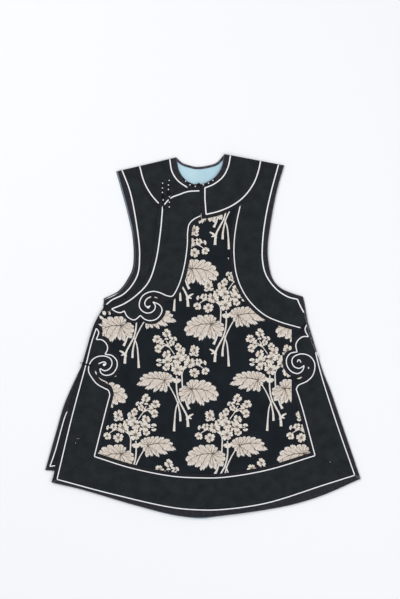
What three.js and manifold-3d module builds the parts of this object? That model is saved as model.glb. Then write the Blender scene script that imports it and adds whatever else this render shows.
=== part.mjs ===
// A long sleeveless side-closing jacket, laid flat on its back: back panel and lining, an
// under-front below, and a brocade front that crosses over it, bordered with satin bands,
// narrow edgings and cream piping. Millimetres, +Z up, +Y towards the neck.
import * as THREE from "three";
import { mergeVertices } from "three/addons/utils/BufferGeometryUtils.js";
import Module from "manifold-3d";

const wasm = await Module();
wasm.setup();

// ---- Driving dimensions ----
const CLOTH = 1.0; // wall of a panel, lining, band or edging
const GAP = 0.3; // between layers, and half of it each side of a seam
const PIPING = { width: 3.0, height: 1.2 };
const EDGING = 10; // width of the narrow strip that borders each satin band
const CORD = { width: 4.0, height: 2.2, knot: 9 }; // frog closures
const NECK_RIM = 6; // width of the facing round the back neck
const LAP = 16; // how far the under-front's armhole band runs beneath the overlap
const INSET = { armholeLeft: 3, armholeRight: 1.5, lining: 1 }; // of the back from the front
const CENTRE_Y = 2.5; // from the drafting origin to the middle of the whole outline
const GRID = 60; // spacing of the height grid under the front
const FIT = 0.9; // how far a drafted curve may lie from its straight steps
const LIFT = { height: 2.6, from: 200, to: 60 }; // the front climbs onto the under-front
const ROOM = { width: 860, length: 990, depth: 40 }; // space that holds the whole garment

// Soft swells that the front lies in: centre, direction, reach along and across, height.
const SWELLS = [
  { x: 20, y: -90, turn: 90, along: 230, across: 130, height: 2.6 },
  { x: 170, y: 60, turn: -50, along: 130, across: 55, height: 1.6 },
  { x: -150, y: -20, turn: 60, along: 120, across: 60, height: 1.2 },
  { x: 60, y: -390, turn: 12, along: 170, across: 60, height: 1.5 },
  { x: -120, y: -380, turn: -20, along: 110, across: 55, height: 1.1 },
];

// ---- Drafting: lines are lists of [x, y] ----

const SAMPLE = 2; // step along a curve before it is thinned
const WELD = 0.4; // points closer than this are one

// The points of a line that its shape needs, to within FIT.
function thinned(points) {
  const [a, b] = [points[0], points.at(-1)].map(([x, y]) => new THREE.Vector3(x, y, 0));
  const chord = new THREE.Line3(a, b);
  let far = 0;
  let worst = 0;
  for (let i = 1; i < points.length - 1; i++) {
    const p = new THREE.Vector3(points[i][0], points[i][1], 0);
    const off = chord.closestPointToPoint(p, true, new THREE.Vector3()).distanceTo(p);
    if (off > worst) [worst, far] = [off, i];
  }
  if (worst <= FIT) return [points[0], points.at(-1)];
  return [...thinned(points.slice(0, far + 1)), ...thinned(points.slice(far)).slice(1)];
}

// A smooth line through a few points.
function seam(...points) {
  if (points.length < 3) return points;
  const knots = points.map(([x, y]) => new THREE.Vector3(x, y, 0));
  const curve = new THREE.CatmullRomCurve3(knots, false, "centripetal");
  const fine = curve.getSpacedPoints(Math.ceil(curve.getLength() / SAMPLE));
  return thinned(fine.map((p) => [p.x, p.y]));
}

const back = (points) => [...points].reverse();

// Lines end to end, without the points that two of them share.
function join(...lines) {
  const all = lines.flat();
  return all.filter(([x, y], i) => {
    const [u, v] = all[(i || all.length) - 1];
    return Math.hypot(x - u, y - v) > WELD;
  });
}

const SHARPEST = 0.5; // cosine of half the turn past which a mitre grows no longer

// A line moved to its left by a distance, mitred at its bends.
function aside(points, distance) {
  return points.map(([x, y], i) => {
    const before = points[Math.max(i - 1, 0)];
    const after = points[Math.min(i + 1, points.length - 1)];
    const into = new THREE.Vector2(x - before[0], y - before[1]).normalize();
    const out = new THREE.Vector2(after[0] - x, after[1] - y).normalize();
    const run = into.clone().add(out).normalize();
    const cosine = Math.max(Math.abs(run.dot(i ? into : out)), SHARPEST);
    return [x - (run.y * distance) / cosine, y + (run.x * distance) / cosine];
  });
}

const ribbon = (points, width) =>
  join(aside(points, width / 2), back(aside(points, -width / 2)));

// ---- Solids ----
const MERGE = 1e-4; // vertices closer than this are one

function solidOf(geometry) {
  for (const name of ["normal", "uv"]) geometry.deleteAttribute(name);
  const merged = mergeVertices(geometry, MERGE);
  const vertProperties = merged.attributes.position.array;
  const triVerts = new Uint32Array(merged.index.array);
  return new wasm.Manifold(new wasm.Mesh({ numProp: 3, vertProperties, triVerts }));
}

// A drafted outline stood up as a prism from one height to another.
function prism(outline, low, high) {
  const shape = new THREE.Shape(outline.map(([x, y]) => new THREE.Vector2(x, y)));
  const settings = { depth: high - low, bevelEnabled: false };
  return solidOf(new THREE.ExtrudeGeometry(shape, settings).translate(0, 0, low));
}

const smooth = (t) => THREE.MathUtils.smoothstep(t, 0, 1);

// Height of the front's underside above the lining's level.
function rise(x, y) {
  let z = LIFT.height * smooth((LIFT.from - x) / (LIFT.from - LIFT.to));
  for (const s of SWELLS) {
    const turn = THREE.MathUtils.degToRad(s.turn);
    const along = (x - s.x) * Math.cos(turn) + (y - s.y) * Math.sin(turn);
    const across = (y - s.y) * Math.cos(turn) - (x - s.x) * Math.sin(turn);
    z += s.height * Math.exp(-((along / s.along) ** 2) - (across / s.across) ** 2);
  }
  return z;
}

// A sheet over the whole room that follows rise(), from one height above it to another.
function sheet(low, high) {
  const [nx, ny] = [Math.ceil(ROOM.width / GRID), Math.ceil(ROOM.length / GRID)];
  const vertices = [];
  for (const level of [low, high])
    for (let j = 0; j <= ny; j++)
      for (let i = 0; i <= nx; i++) {
        const [x, y] = [(i - nx / 2) * GRID, (j - ny / 2) * GRID];
        vertices.push(x, y, level + rise(x, y));
      }
  const at = (i, j, top) => (top * (ny + 1) + j) * (nx + 1) + i;
  const faces = [];
  const quad = (a, b, c, d) => faces.push(a, b, c, a, c, d);
  for (let j = 0; j < ny; j++)
    for (let i = 0; i < nx; i++) {
      quad(at(i, j, 1), at(i + 1, j, 1), at(i + 1, j + 1, 1), at(i, j + 1, 1));
      faces.push(at(i, j, 0), at(i + 1, j + 1, 0), at(i + 1, j, 0));
      faces.push(at(i, j, 0), at(i, j + 1, 0), at(i + 1, j + 1, 0));
    }
  for (let i = 0; i < nx; i++) {
    quad(at(i, 0, 0), at(i + 1, 0, 0), at(i + 1, 0, 1), at(i, 0, 1));
    quad(at(i + 1, ny, 0), at(i, ny, 0), at(i, ny, 1), at(i + 1, ny, 1));
  }
  for (let j = 0; j < ny; j++) {
    quad(at(0, j + 1, 0), at(0, j, 0), at(0, j, 1), at(0, j + 1, 1));
    quad(at(nx, j, 0), at(nx, j + 1, 0), at(nx, j + 1, 1), at(nx, j, 1));
  }
  const geometry = new THREE.BufferGeometry();
  geometry.setAttribute("position", new THREE.Float32BufferAttribute(vertices, 3));
  return solidOf(geometry.setIndex(faces));
}

// ---- Seam lines of the draft ----

const NECK = {
  back: seam([-67, 445], [-51, 431], [-34, 425], [-15, 421], [16, 425], [35, 432], [53, 452]),
  left: seam([-66, 445], [-59, 411], [-41, 387], [-15, 375]),
  right: seam([-15, 375], [-1, 378], [26, 392], [45, 417], [53, 453]),
  pipingLeft: seam([-83, 441], [-77, 409], [-63, 387], [-37, 368]),
  pipingRight: seam([69, 450], [63, 421], [50, 396], [28, 378], [5, 368]),
};
const COLLAR = {
  centre: [[5, 368], [5, 342], [8, 302]],
  right: seam([8, 302], [40, 310], [76, 326], [104, 348], [127, 380], [139, 412], [144, 436]),
  left: seam([-158, 423], [-147, 384], [-130, 353], [-108, 327]),
};
const ARMHOLE = {
  left: seam([-214, 410], [-186, 308], [-172, 239], [-172, 172], [-183, 144], [-208, 110], [-247, 89]),
  right: seam([203, 425], [184, 358], [167, 265], [162, 217], [165, 176], [175, 140], [194, 119],
    [219, 107], [250, 97]),
  pipingLeft: seam([-202, 413], [-181, 356], [-160, 236], [-158, 197], [-162, 155], [-178, 124],
    [-200, 102], [-228, 88], [-241, 77]),
  pipingRight: join(
    seam([189, 427], [171, 361], [156, 291], [149, 233], [149, 185], [158, 150], [182, 117],
      [211, 97], [236, 90]),
    seam([236, 90], [243, 74], [252, 57]),
  ),
  inner: seam([93, 323], [84, 281], [78, 233], [78, 195], [84, 151], [100, 110], [123, 78],
    [156, 50], [195, 33], [244, 19]),
};
const OVERLAP = {
  topEdge: seam([-15, 375], [-37, 369], [-59, 362], [-85, 352], [-106, 335], [-112, 312]),
  edge: seam([-112, 312], [-118, 259], [-129, 186], [-145, 139], [-171, 111], [-201, 89], [-247, 72]),
  top: seam([-8, 361], [-37, 359], [-58, 352], [-80, 343], [-98, 325]),
  outer: seam([-101, 313], [-106, 258], [-118, 183], [-136, 133], [-164, 102], [-195, 80], [-228, 66]),
  inner: seam([-5, 299], [-24, 289], [-34, 278], [-38, 258], [-39, 225], [-46, 175], [-57, 134],
    [-70, 106], [-77, 98], [-89, 99], [-108, 107], [-123, 110], [-140, 106], [-151, 98],
    [-158, 84], [-158, 71], [-151, 61], [-140, 56], [-128, 58], [-120, 66], [-119, 75], [-125, 84]),
  scallops: join(
    seam([-228, 66], [-216, 59], [-206, 57], [-196, 61]),
    seam([-196, 61], [-190, 49], [-180, 41], [-170, 39], [-156, 50]),
    seam([-156, 50], [-144, 40], [-130, 37], [-116, 41], [-105, 53], [-102, 65], [-108, 76], [-125, 84]),
  ),
};
const SIDE_LEFT = {
  edge: seam([-247, 72], [-271, 29], [-290, -32], [-300, -67]),
  slit: seam([-300, -67], [-318, -122], [-346, -222], [-372, -346], [-378, -367]),
  trim: seam([-228, 66], [-240, 54], [-254, 36], [-266, 18]),
  piping: seam([-266, 18], [-278, -18], [-290, -66], [-326, -200], [-364, -359]),
  scroll: join(
    seam([-266, 18], [-260, 8], [-266, -10]),
    seam([-266, -10], [-252, -11], [-240, -22], [-238, -34], [-244, -47]),
    seam([-244, -47], [-227, -50], [-215, -63], [-215, -80], [-227, -96], [-245, -99], [-255, -92],
      [-257, -82]),
  ),
  inner: join(
    seam([-257, -82], [-245, -88], [-233, -83], [-227, -72], [-229, -60], [-239, -53], [-252, -51],
      [-266, -54], [-277, -62], [-284, -75], [-285, -90], [-278, -104], [-264, -121], [-247, -131],
      [-236, -137], [-232, -148]),
    seam([-232, -148], [-242, -186], [-271, -302]),
  ),
};
const SIDE_RIGHT = {
  edge: seam([250, 97], [254, 81], [262, 34], [277, -16], [284, -39]),
  slit: seam([284, -39], [301, -93], [317, -132], [344, -211], [394, -358]),
  trim: seam([252, 57], [255, 42], [259, 27], [263, 10], [269, -12], [281, -42]),
  piping: seam([281, -42], [294, -94], [331, -211], [379, -349]),
  scroll: join(
    seam([259, 27], [255, 15], [263, -3]),
    seam([263, -3], [250, -3], [238, -11], [232, -23], [235, -41]),
    seam([235, -41], [218, -45], [209, -58], [210, -75], [221, -90], [237, -95], [249, -87], [253, -75]),
  ),
  inner: join(
    seam([253, -75], [240, -82], [227, -77], [222, -65], [226, -54], [246, -46], [267, -52], [279, -70],
      [275, -98], [260, -114], [238, -125], [233, -134]),
    seam([233, -134], [244, -167], [280, -300]),
  ),
};
const HEM = {
  edge: seam([-378, -367], [-305, -384], [-165, -425], [-63, -450], [-7, -455], [49, -450],
    [160, -435], [230, -421], [300, -399], [394, -358]),
  outer: seam([-364, -359], [-229, -395], [-76, -429], [-7, -435], [49, -434], [160, -418],
    [300, -374], [379, -349]),
  inner: seam([-271, -302], [-178, -331], [-76, -351], [-7, -355], [49, -354], [160, -336], [280, -300]),
};
const UNDER = {
  hidden: seam([-246, 62], [-267, 29], [-286, -32], [-297, -64]),
  slit: seam([-297, -64], [-304, -78], [-333, -140], [-348, -177], [-369, -249], [-394, -337]),
  hem: [[-394, -337], [-369, -338], [-200, -386], [15, -425]],
  piping: seam([-320, -132], [-333, -178], [-344, -202], [-369, -290], [-382, -327]),
  trimEnd: [[-369, -325], [-355, -334]],
};
// Outer lines of the edgings round each scroll, where the channel between its turns is filled.
const EDGING_LINE = {
  overlap: seam([-4, 288], [-18, 281], [-25, 271], [-28, 256], [-29, 224], [-36, 173], [-47, 130],
    [-61, 101], [-76, 87], [-90, 86], [-93, 72], [-93, 58], [-103, 40], [-121, 29], [-141, 30],
    [-156, 38], [-170, 30], [-186, 34], [-199, 48], [-214, 48], [-234, 55]),
  left: join(
    seam([-256, 31], [-250, 10], [-254, 0], [-243, -3], [-230, -18], [-230, -38], [-215, -46],
      [-205, -62], [-206, -85], [-219, -102], [-238, -109], [-243, -117], [-229, -126], [-222, -146]),
    seam([-222, -146], [-232, -186], [-259, -291]),
  ),
  right: join(
    seam([252, 24], [248, 14], [252, 5], [234, 1], [223, -14], [223, -33], [207, -42], [199, -60],
      [202, -82], [216, -99], [234, -105], [240, -112], [228, -120], [222, -134]),
    seam([222, -134], [234, -170], [267, -291]),
  ),
};

// ---- Colours and finishes ----
const finish = (color, roughness) =>
  new THREE.MeshStandardMaterial({ color, roughness, metalness: 0, side: THREE.FrontSide });
const FINISH = {
  satin: finish(0x23292e, 0.55),
  brocade: finish(0x141821, 0.6),
  edging: finish(0x34323a, 0.75),
  lining: finish(0xbfe3ee, 0.7),
  cream: finish(0xe6dccb, 0.65),
  cord: finish(0x0c0d10, 0.8),
};

// ---- Layers: the flat ones by height, the front's by height above rise() ----
const STEP = CLOTH + GAP;
const flat = (level) => ({ low: level * STEP, high: level * STEP + CLOTH });
const FLAT = {
  back: flat(0),
  lining: flat(1),
  under: flat(2),
  underBand: flat(3),
  underPiping: { low: 4 * STEP, high: 4 * STEP + PIPING.height },
  underCord: { low: 4 * STEP, high: 4 * STEP + CORD.height },
};
const frontLayer = (level, height) => sheet(level * STEP, level * STEP + height);
const OVER_PIPING = 4 * STEP + PIPING.height + GAP;
const FRONT = {
  panel: frontLayer(2, CLOTH),
  band: frontLayer(3, CLOTH),
  piping: frontLayer(4, PIPING.height),
  cord: frontLayer(4, CORD.height),
  cordOverPiping: sheet(OVER_PIPING, OVER_PIPING + CORD.height),
};

const jacket = new THREE.Group();
jacket.position.y = CENTRE_Y;

// One piece of cloth or cord: its outline in a layer, less what is cut away from it.
function piece(outline, layer, cuts = []) {
  const isFlat = layer.low !== undefined;
  let solid = isFlat
    ? prism(outline, layer.low, layer.high)
    : prism(outline, -CLOTH, ROOM.depth).intersect(layer);
  for (const cut of cuts) solid = solid.subtract(prism(cut, -2 * CLOTH, ROOM.depth + CLOTH));
  return solid.decompose().sort((a, b) => b.volume() - a.volume())[0];
}

function sew(name, solid, material) {
  const { numProp, vertProperties, triVerts } = solid.getMesh();
  const geometry = new THREE.BufferGeometry();
  const position = new THREE.Float32BufferAttribute(vertProperties, numProp);
  geometry.setAttribute("position", position).setIndex([...triVerts]);
  geometry.computeVertexNormals();
  const mesh = new THREE.Mesh(geometry, material);
  mesh.name = name;
  jacket.add(mesh);
}

// ---- Back ----
const BACK = {
  armholeLeft: aside(ARMHOLE.left, -INSET.armholeLeft),
  armholeRight: aside(ARMHOLE.right, -INSET.armholeRight),
  sideLeft: seam([-244, 74], [-262, 29], [-281, -32], [-291, -67], [-339, -222], [-367, -340],
    [-373, -359]),
  sideRight: seam([248, 95], [259, 34], [274, -16], [281, -39], [341, -211], [386, -354]),
  hem: seam([-373, -359], [-229, -402], [-95, -441], [-7, -458], [38, -452], [160, -431], [300, -394],
    [386, -354]),
};
const backOutline = join(
  back(NECK.back),
  BACK.armholeLeft,
  BACK.sideLeft,
  BACK.hem,
  back(BACK.sideRight),
  back(BACK.armholeRight),
);
sew("back_panel", piece(backOutline, FLAT.back), FINISH.satin);
sew("back_lining", piece(aside(backOutline, INSET.lining), FLAT.lining), FINISH.lining);
const neckRim = (width) => join(NECK.back, back(aside(NECK.back, -width)));
sew("back_neck_binding", piece(neckRim(NECK_RIM), FLAT.under), FINISH.edging);

// ---- Under-front ----
const underInner = [[15, 300], [-2, 362], [-8, 373]];
const underOutline = join(
  back(NECK.left), ARMHOLE.left, [[-249, 73]], UNDER.hidden, UNDER.slit, UNDER.hem, underInner,
);
sew("under_front_panel", piece(underOutline, FLAT.under, [neckRim(NECK_RIM + GAP)]), FINISH.satin);
const asSeam = (line) => ribbon(line, GAP);
const underSeams = [NECK.pipingLeft, COLLAR.left, ARMHOLE.pipingLeft, UNDER.piping].map(asSeam);
const underEdging = aside(COLLAR.left, -EDGING);
const hiddenEnd = aside(OVERLAP.edge, LAP);
const underBands = {
  under_collar_band: [
    FINISH.satin, join(NECK.pipingLeft, [[-20, 362], [-30, 348], [-90, 318]], back(COLLAR.left)),
  ],
  under_collar_edging: [FINISH.edging, join(COLLAR.left, [[-96, 316]], back(underEdging))],
  under_armhole_band: [
    FINISH.satin, join(underEdging, [[-98, 305]], hiddenEnd, back(ARMHOLE.pipingLeft)),
  ],
  under_neck_binding: [FINISH.edging, join(NECK.left, [[-20, 362]], back(NECK.pipingLeft))],
  under_armhole_binding: [FINISH.edging, join(ARMHOLE.pipingLeft, [[-249, 75]], back(ARMHOLE.left))],
  under_side_band: [
    FINISH.satin,
    join(UNDER.piping, UNDER.trimEnd, [[-320, -310], [-290, -200], [-288, -100], [-312, -120]]),
  ],
  under_side_binding: [
    FINISH.edging,
    join(back(UNDER.slit.slice(2)), [[-310, -100], [-314, -122]], UNDER.piping, UNDER.trimEnd, [
      [-362, -338],
      [-394, -337],
    ]),
  ],
};
for (const [name, [material, outline]] of Object.entries(underBands))
  sew(name, piece(outline, FLAT.underBand, underSeams), material);

// ---- Front ----
const frontOutline = join(
  NECK.right,
  ARMHOLE.right,
  SIDE_RIGHT.edge,
  SIDE_RIGHT.slit,
  back(HEM.edge),
  back(SIDE_LEFT.slit),
  back(SIDE_LEFT.edge),
  back(OVERLAP.edge),
  back(OVERLAP.topEdge),
);
sew("front_panel", piece(frontOutline, FRONT.panel), FINISH.brocade);

const LAP_TOP = { x: -5, neck: 377, band: 361 }; // where the overlap's top meets the collar band
const centreEdging = [[LAP_TOP.x, LAP_TOP.neck], [LAP_TOP.x, 340], [-3, 291]];
const neckStep = [[5, 368], [LAP_TOP.x, LAP_TOP.neck]];
const pastLapTop = ([x]) => x > LAP_TOP.x + 1;
const TURN = { armhole: 96, side: 26 }; // the x and y past which a band's edge starts
const collarEdgingLine = aside(COLLAR.right, -EDGING);
const mitre = {
  left: [[-364, -359], [-271, -302], [-259, -291]],
  right: [[379, -349], [280, -300], [267, -291]],
};
const hemEdging = join([mitre.left[2]], aside(HEM.inner, EDGING).slice(1, -1), [mitre.right[2]]);
const frontSeams = [
  NECK.pipingRight, neckStep, COLLAR.centre, COLLAR.right, centreEdging, collarEdgingLine,
  OVERLAP.top, OVERLAP.outer, OVERLAP.inner, OVERLAP.scallops,
  ARMHOLE.pipingRight, ARMHOLE.inner,
  SIDE_LEFT.trim, SIDE_LEFT.piping, SIDE_LEFT.scroll, SIDE_LEFT.inner, mitre.left,
  SIDE_RIGHT.trim, SIDE_RIGHT.piping, SIDE_RIGHT.scroll, SIDE_RIGHT.inner, mitre.right,
  HEM.outer, HEM.inner,
].map(asSeam);
const frontBands = {
  collar_band: [FINISH.satin, join(NECK.pipingRight, COLLAR.centre, COLLAR.right)],
  overlap_band: [
    FINISH.satin,
    join([[LAP_TOP.x, LAP_TOP.band]], OVERLAP.top, OVERLAP.outer, OVERLAP.scallops, back(OVERLAP.inner)),
  ],
  armhole_band: [
    FINISH.satin,
    join(
      back(collarEdgingLine.filter(([x]) => x > TURN.armhole)),
      ARMHOLE.inner,
      [[256, 30]],
      back(ARMHOLE.pipingRight),
    ),
  ],
  left_side_band: [
    FINISH.satin, join(SIDE_LEFT.scroll, SIDE_LEFT.inner, [mitre.left[0]], back(SIDE_LEFT.piping)),
  ],
  right_side_band: [
    FINISH.satin,
    join(
      SIDE_RIGHT.scroll,
      SIDE_RIGHT.inner,
      back(SIDE_RIGHT.piping),
      back(SIDE_RIGHT.trim.filter(([, y]) => y < TURN.side)),
    ),
  ],
  hem_band: [FINISH.satin, join(HEM.outer, back(HEM.inner))],
  neck_binding: [
    FINISH.edging, join(neckStep.slice(1), NECK.right.filter(pastLapTop), NECK.pipingRight),
  ],
  overlap_binding: [
    FINISH.edging,
    join(OVERLAP.topEdge, OVERLAP.edge, back(OVERLAP.outer), back(OVERLAP.top), [
      [LAP_TOP.x, LAP_TOP.band],
      [LAP_TOP.x, LAP_TOP.neck],
    ]),
  ],
  armhole_binding: [FINISH.edging, join(ARMHOLE.pipingRight, [[258, 57]], back(ARMHOLE.right))],
  left_side_binding: [
    FINISH.edging, join(SIDE_LEFT.trim, SIDE_LEFT.piping, back(SIDE_LEFT.slit), back(SIDE_LEFT.edge)),
  ],
  right_side_binding: [
    FINISH.edging,
    join(SIDE_RIGHT.trim, SIDE_RIGHT.piping, back(SIDE_RIGHT.slit), [[284, -39], [262, 34], [258, 57]]),
  ],
  hem_binding: [FINISH.edging, join(HEM.edge, back(HEM.outer))],
  collar_edging: [
    FINISH.edging, join(centreEdging, collarEdgingLine, back(COLLAR.right), back(COLLAR.centre)),
  ],
  overlap_edging: [
    FINISH.edging, join(OVERLAP.inner, back(OVERLAP.scallops), [[-234, 55]], back(EDGING_LINE.overlap)),
  ],
  armhole_edging: [
    FINISH.edging, join(aside(ARMHOLE.inner, -EDGING), back(ARMHOLE.inner)),
  ],
  left_side_edging: [
    FINISH.edging,
    join(EDGING_LINE.left, [mitre.left[1]], back(SIDE_LEFT.inner), back(SIDE_LEFT.scroll)),
  ],
  right_side_edging: [
    FINISH.edging,
    join(EDGING_LINE.right, [mitre.right[1]], back(SIDE_RIGHT.inner), back(SIDE_RIGHT.scroll)),
  ],
  hem_edging: [FINISH.edging, join([mitre.left[1]], HEM.inner, [mitre.right[1]], back(hemEdging))],
};
for (const [name, [material, outline]] of Object.entries(frontBands))
  sew(name, piece(outline, FRONT.band, frontSeams), material);

// ---- Piping: each cord stops clear of the ones it meets ----
const clearOfFront = aside(frontOutline, 2 * GAP);
function pipe(lines, layer, cuts = []) {
  const laid = [];
  for (const [name, line] of Object.entries(lines)) {
    const solid = piece(ribbon(line, PIPING.width), layer, [...cuts, ...laid]);
    sew(name, solid, FINISH.cream);
    laid.push(ribbon(line, PIPING.width + 2 * GAP));
  }
}
pipe(
  {
    under_neck_piping: NECK.pipingLeft,
    under_collar_piping: COLLAR.left,
    under_armhole_piping: ARMHOLE.pipingLeft,
    under_side_piping: join(UNDER.piping, UNDER.trimEnd),
  },
  FLAT.underPiping,
  [clearOfFront],
);
pipe(
  {
    collar_piping: join(NECK.pipingRight, COLLAR.centre, COLLAR.right),
    overlap_outer_piping: join(OVERLAP.top, [[-101, 319]], OVERLAP.outer),
    overlap_scallop_piping: OVERLAP.scallops,
    overlap_inner_piping: OVERLAP.inner,
    armhole_piping: ARMHOLE.pipingRight,
    armhole_inner_piping: ARMHOLE.inner,
    left_side_piping: SIDE_LEFT.piping,
    left_scroll_piping: SIDE_LEFT.scroll,
    left_inner_piping: SIDE_LEFT.inner,
    right_side_piping: SIDE_RIGHT.piping,
    right_scroll_piping: SIDE_RIGHT.scroll,
    right_inner_piping: SIDE_RIGHT.inner,
    hem_outer_piping: HEM.outer,
    hem_inner_piping: HEM.inner,
    overlap_scroll_curl: seam([-129, 97], [-140, 91], [-145, 81], [-142, 73], [-134, 71]),
    left_scroll_curl: seam([-261, -71], [-252, -67], [-245, -66], [-242, -70], [-245, -75]),
    right_scroll_curl: seam([236, -68], [237, -62], [242, -62], [244, -68]),
  },
  FRONT.piping,
);

// ---- Closures: each is a leg with a knot below, and a loop leg on the piece that closes over ----
const cord = (line, layer, cuts = []) => piece(ribbon(line, CORD.width), layer, cuts);
function knotAt(x, y) {
  const [around, fromTop] = [10, 6];
  const ball = new THREE.SphereGeometry(CORD.knot / 2, around, fromTop);
  return solidOf(ball.translate(x, y, FLAT.underCord.low + CORD.knot / 2));
}
const CLOSURES = [
  {
    name: "neck",
    leg: seam([-48, 391], [-42, 384], [-33, 378], [-24, 378], [-18, 381]),
    knot: [-17, 382],
    loop: seam([-9, 374], [1, 375], [14, 380], [25, 387], [29, 391]),
    layer: FRONT.cord,
  },
  {
    name: "overlap_left",
    leg: [[-101, 386], [-101, 348]],
    knot: [-101, 347],
    loop: [[-98, 337], [-98, 314]],
    layer: FRONT.cordOverPiping,
  },
  {
    name: "overlap_right",
    leg: [[-85, 391], [-86, 360]],
    knot: [-86, 359],
    loop: [[-84, 349], [-84, 315]],
    layer: FRONT.cordOverPiping,
  },
];
for (const { name, leg, knot, loop, layer } of CLOSURES) {
  sew(`${name}_frog_knot`, cord(leg, FLAT.underCord, [clearOfFront]).add(knotAt(...knot)), FINISH.cord);
  sew(`${name}_frog_loop`, cord(loop, layer), FINISH.cord);
}
const SIDE_FROG = [[-304, -69], [-281, -74]];
sew("side_frog", cord(SIDE_FROG, FRONT.cordOverPiping), FINISH.cord);

export default jacket;
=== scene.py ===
"""A long sleeveless side-closing jacket laid flat, with its silks, piping, bouquets and frogs.

The draft's lines are in millimetres from the drafting origin, +X to the wearer's left and +Y to
the neck. Meshes are made in metres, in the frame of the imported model.
"""

import logging
import math
from dataclasses import dataclass
from enum import Enum
from typing import Callable, Iterable, Sequence

import bpy
import numpy as np
from mathutils.geometry import delaunay_2d_cdt
from mathutils.kdtree import KDTree
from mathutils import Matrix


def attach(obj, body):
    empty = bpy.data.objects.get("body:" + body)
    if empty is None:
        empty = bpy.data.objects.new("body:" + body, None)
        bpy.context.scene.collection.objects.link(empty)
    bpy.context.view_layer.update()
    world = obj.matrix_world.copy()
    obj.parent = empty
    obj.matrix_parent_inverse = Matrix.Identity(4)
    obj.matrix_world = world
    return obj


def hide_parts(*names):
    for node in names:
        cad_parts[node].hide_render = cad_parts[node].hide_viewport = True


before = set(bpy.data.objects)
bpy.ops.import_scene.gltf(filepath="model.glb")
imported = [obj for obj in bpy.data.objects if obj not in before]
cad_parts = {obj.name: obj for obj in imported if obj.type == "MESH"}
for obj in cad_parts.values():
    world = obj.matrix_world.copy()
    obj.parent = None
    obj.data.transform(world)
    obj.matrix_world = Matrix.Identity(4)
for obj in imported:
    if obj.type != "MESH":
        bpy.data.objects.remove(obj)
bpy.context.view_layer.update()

BODY = "root"
LOG = logging.getLogger("jacket")

Line = np.ndarray
Knots = tuple[tuple[float, float], ...]
Rgb = tuple[float, float, float]
Heights = Callable[[np.ndarray], np.ndarray]

# ---- Driving sizes, in millimetres ----
MM = 0.001
CENTRE_Y = 2.5  # from the drafting origin to the middle of the whole outline
CLOTH = 1.0
GAP = 0.3
STEP = CLOTH + GAP
EDGING = 10.0
PIPING_WIDTH = 3.0
PIPING_HEIGHT = 1.2
BAND_DEPTH = 0.65  # a band is thinner than its layer, which leaves room for the woven flowers
PANEL_DEPTH = 0.9
LAP = 16.0
NECK_RIM = 6.0
SPACING = 2.0  # step along a smooth line
CURVE_STEPS = 24  # between two knots, before a smooth line is spaced
MITRE = 0.5  # the least cosine at a bend, which keeps a sharp mitre short
WELD = 0.4  # points of a line that are closer are one
ON_EDGE = 1e-6
TINY = 1e-9  # keeps a length of zero from dividing
BATCH = 3_000_000  # how many points and legs are compared at once


# ---- Drafting ----


def spaced(points: Line, step: float) -> Line:
    """Points at even steps along a line, with its ends kept.

    Args:
        points: The line's rows of x, y.
        step: The longest step, in millimetres.

    Returns:
        The new rows of x, y.
    """
    run = lengths(points)
    count = max(int(math.ceil(run[-1] / step)), 1)
    at = np.linspace(0.0, run[-1], count + 1)
    return np.column_stack([np.interp(at, run, points[:, k]) for k in (0, 1)])


def lengths(points: Line) -> np.ndarray:
    """The length of a line up to each of its points."""
    legs = np.linalg.norm(np.diff(points, axis=0), axis=1)
    return np.concatenate([[0.0], np.cumsum(legs)])


def heading(line: np.ndarray) -> np.ndarray:
    """The direction of a line at each of its points."""
    ahead = np.gradient(line, axis=0)
    return ahead / np.maximum(np.linalg.norm(ahead, axis=1), TINY)[:, None]


def leftward(ahead: np.ndarray) -> np.ndarray:
    """Directions turned a quarter to their left."""
    return np.column_stack([-ahead[:, 1], ahead[:, 0]])


def unit(turn: float) -> np.ndarray:
    """The direction at an angle in degrees."""
    return np.array([math.cos(math.radians(turn)), math.sin(math.radians(turn))])


def mesa(x: np.ndarray, middle: float, reach: float) -> np.ndarray:
    """1 round a middle, falling to 0 about its reach away."""
    return np.exp(-(((x - middle) / reach) ** 4))


def smoothed(share: np.ndarray) -> np.ndarray:
    """Shares that leave 0 and reach 1 without a kink."""
    return share**2 * (3 - 2 * share)


def seam(*knots: Sequence[float], step: float = SPACING) -> Line:
    """A smooth line through a few points, as a centripetal spline.

    Args:
        *knots: The points that the line passes through.
        step: The distance between the line's points.

    Returns:
        Rows of x, y.
    """
    k = np.array(knots, float)
    if len(k) < 3:
        return k
    ends = np.vstack([2 * k[0] - k[1], k, 2 * k[-1] - k[-2]])
    t = np.linspace(0.0, 1.0, CURVE_STEPS, endpoint=False)[:, None]
    legs = []
    for a, b, c, d in zip(ends, ends[1:], ends[2:], ends[3:]):
        before, here, after = (math.sqrt(math.dist(p, q)) for p, q in ((a, b), (b, c), (c, d)))
        leave = (b - a) / before - (c - a) / (before + here) + (c - b) / here
        enter = (c - b) / here - (d - b) / (here + after) + (d - c) / after
        leave, enter = leave * here, enter * here
        square = -3 * b + 3 * c - 2 * leave - enter
        legs.append(b + leave * t + square * t**2 + (2 * b - 2 * c + leave + enter) * t**3)
    return spaced(np.vstack([*legs, k[-1:]]), step)


def join(*lines: Line | Knots, closed: bool = True) -> Line:
    """Lines end to end, without the points that two of them share."""
    points = np.vstack([np.array(line, float) for line in lines])
    apart = np.hypot(*(points - np.roll(points, 1, 0)).T) > WELD
    apart[0] |= not closed
    return points[apart]


def join_open(*lines: Line | Knots) -> Line:
    """Lines end to end as one open line."""
    return join(*lines, closed=False)


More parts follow.
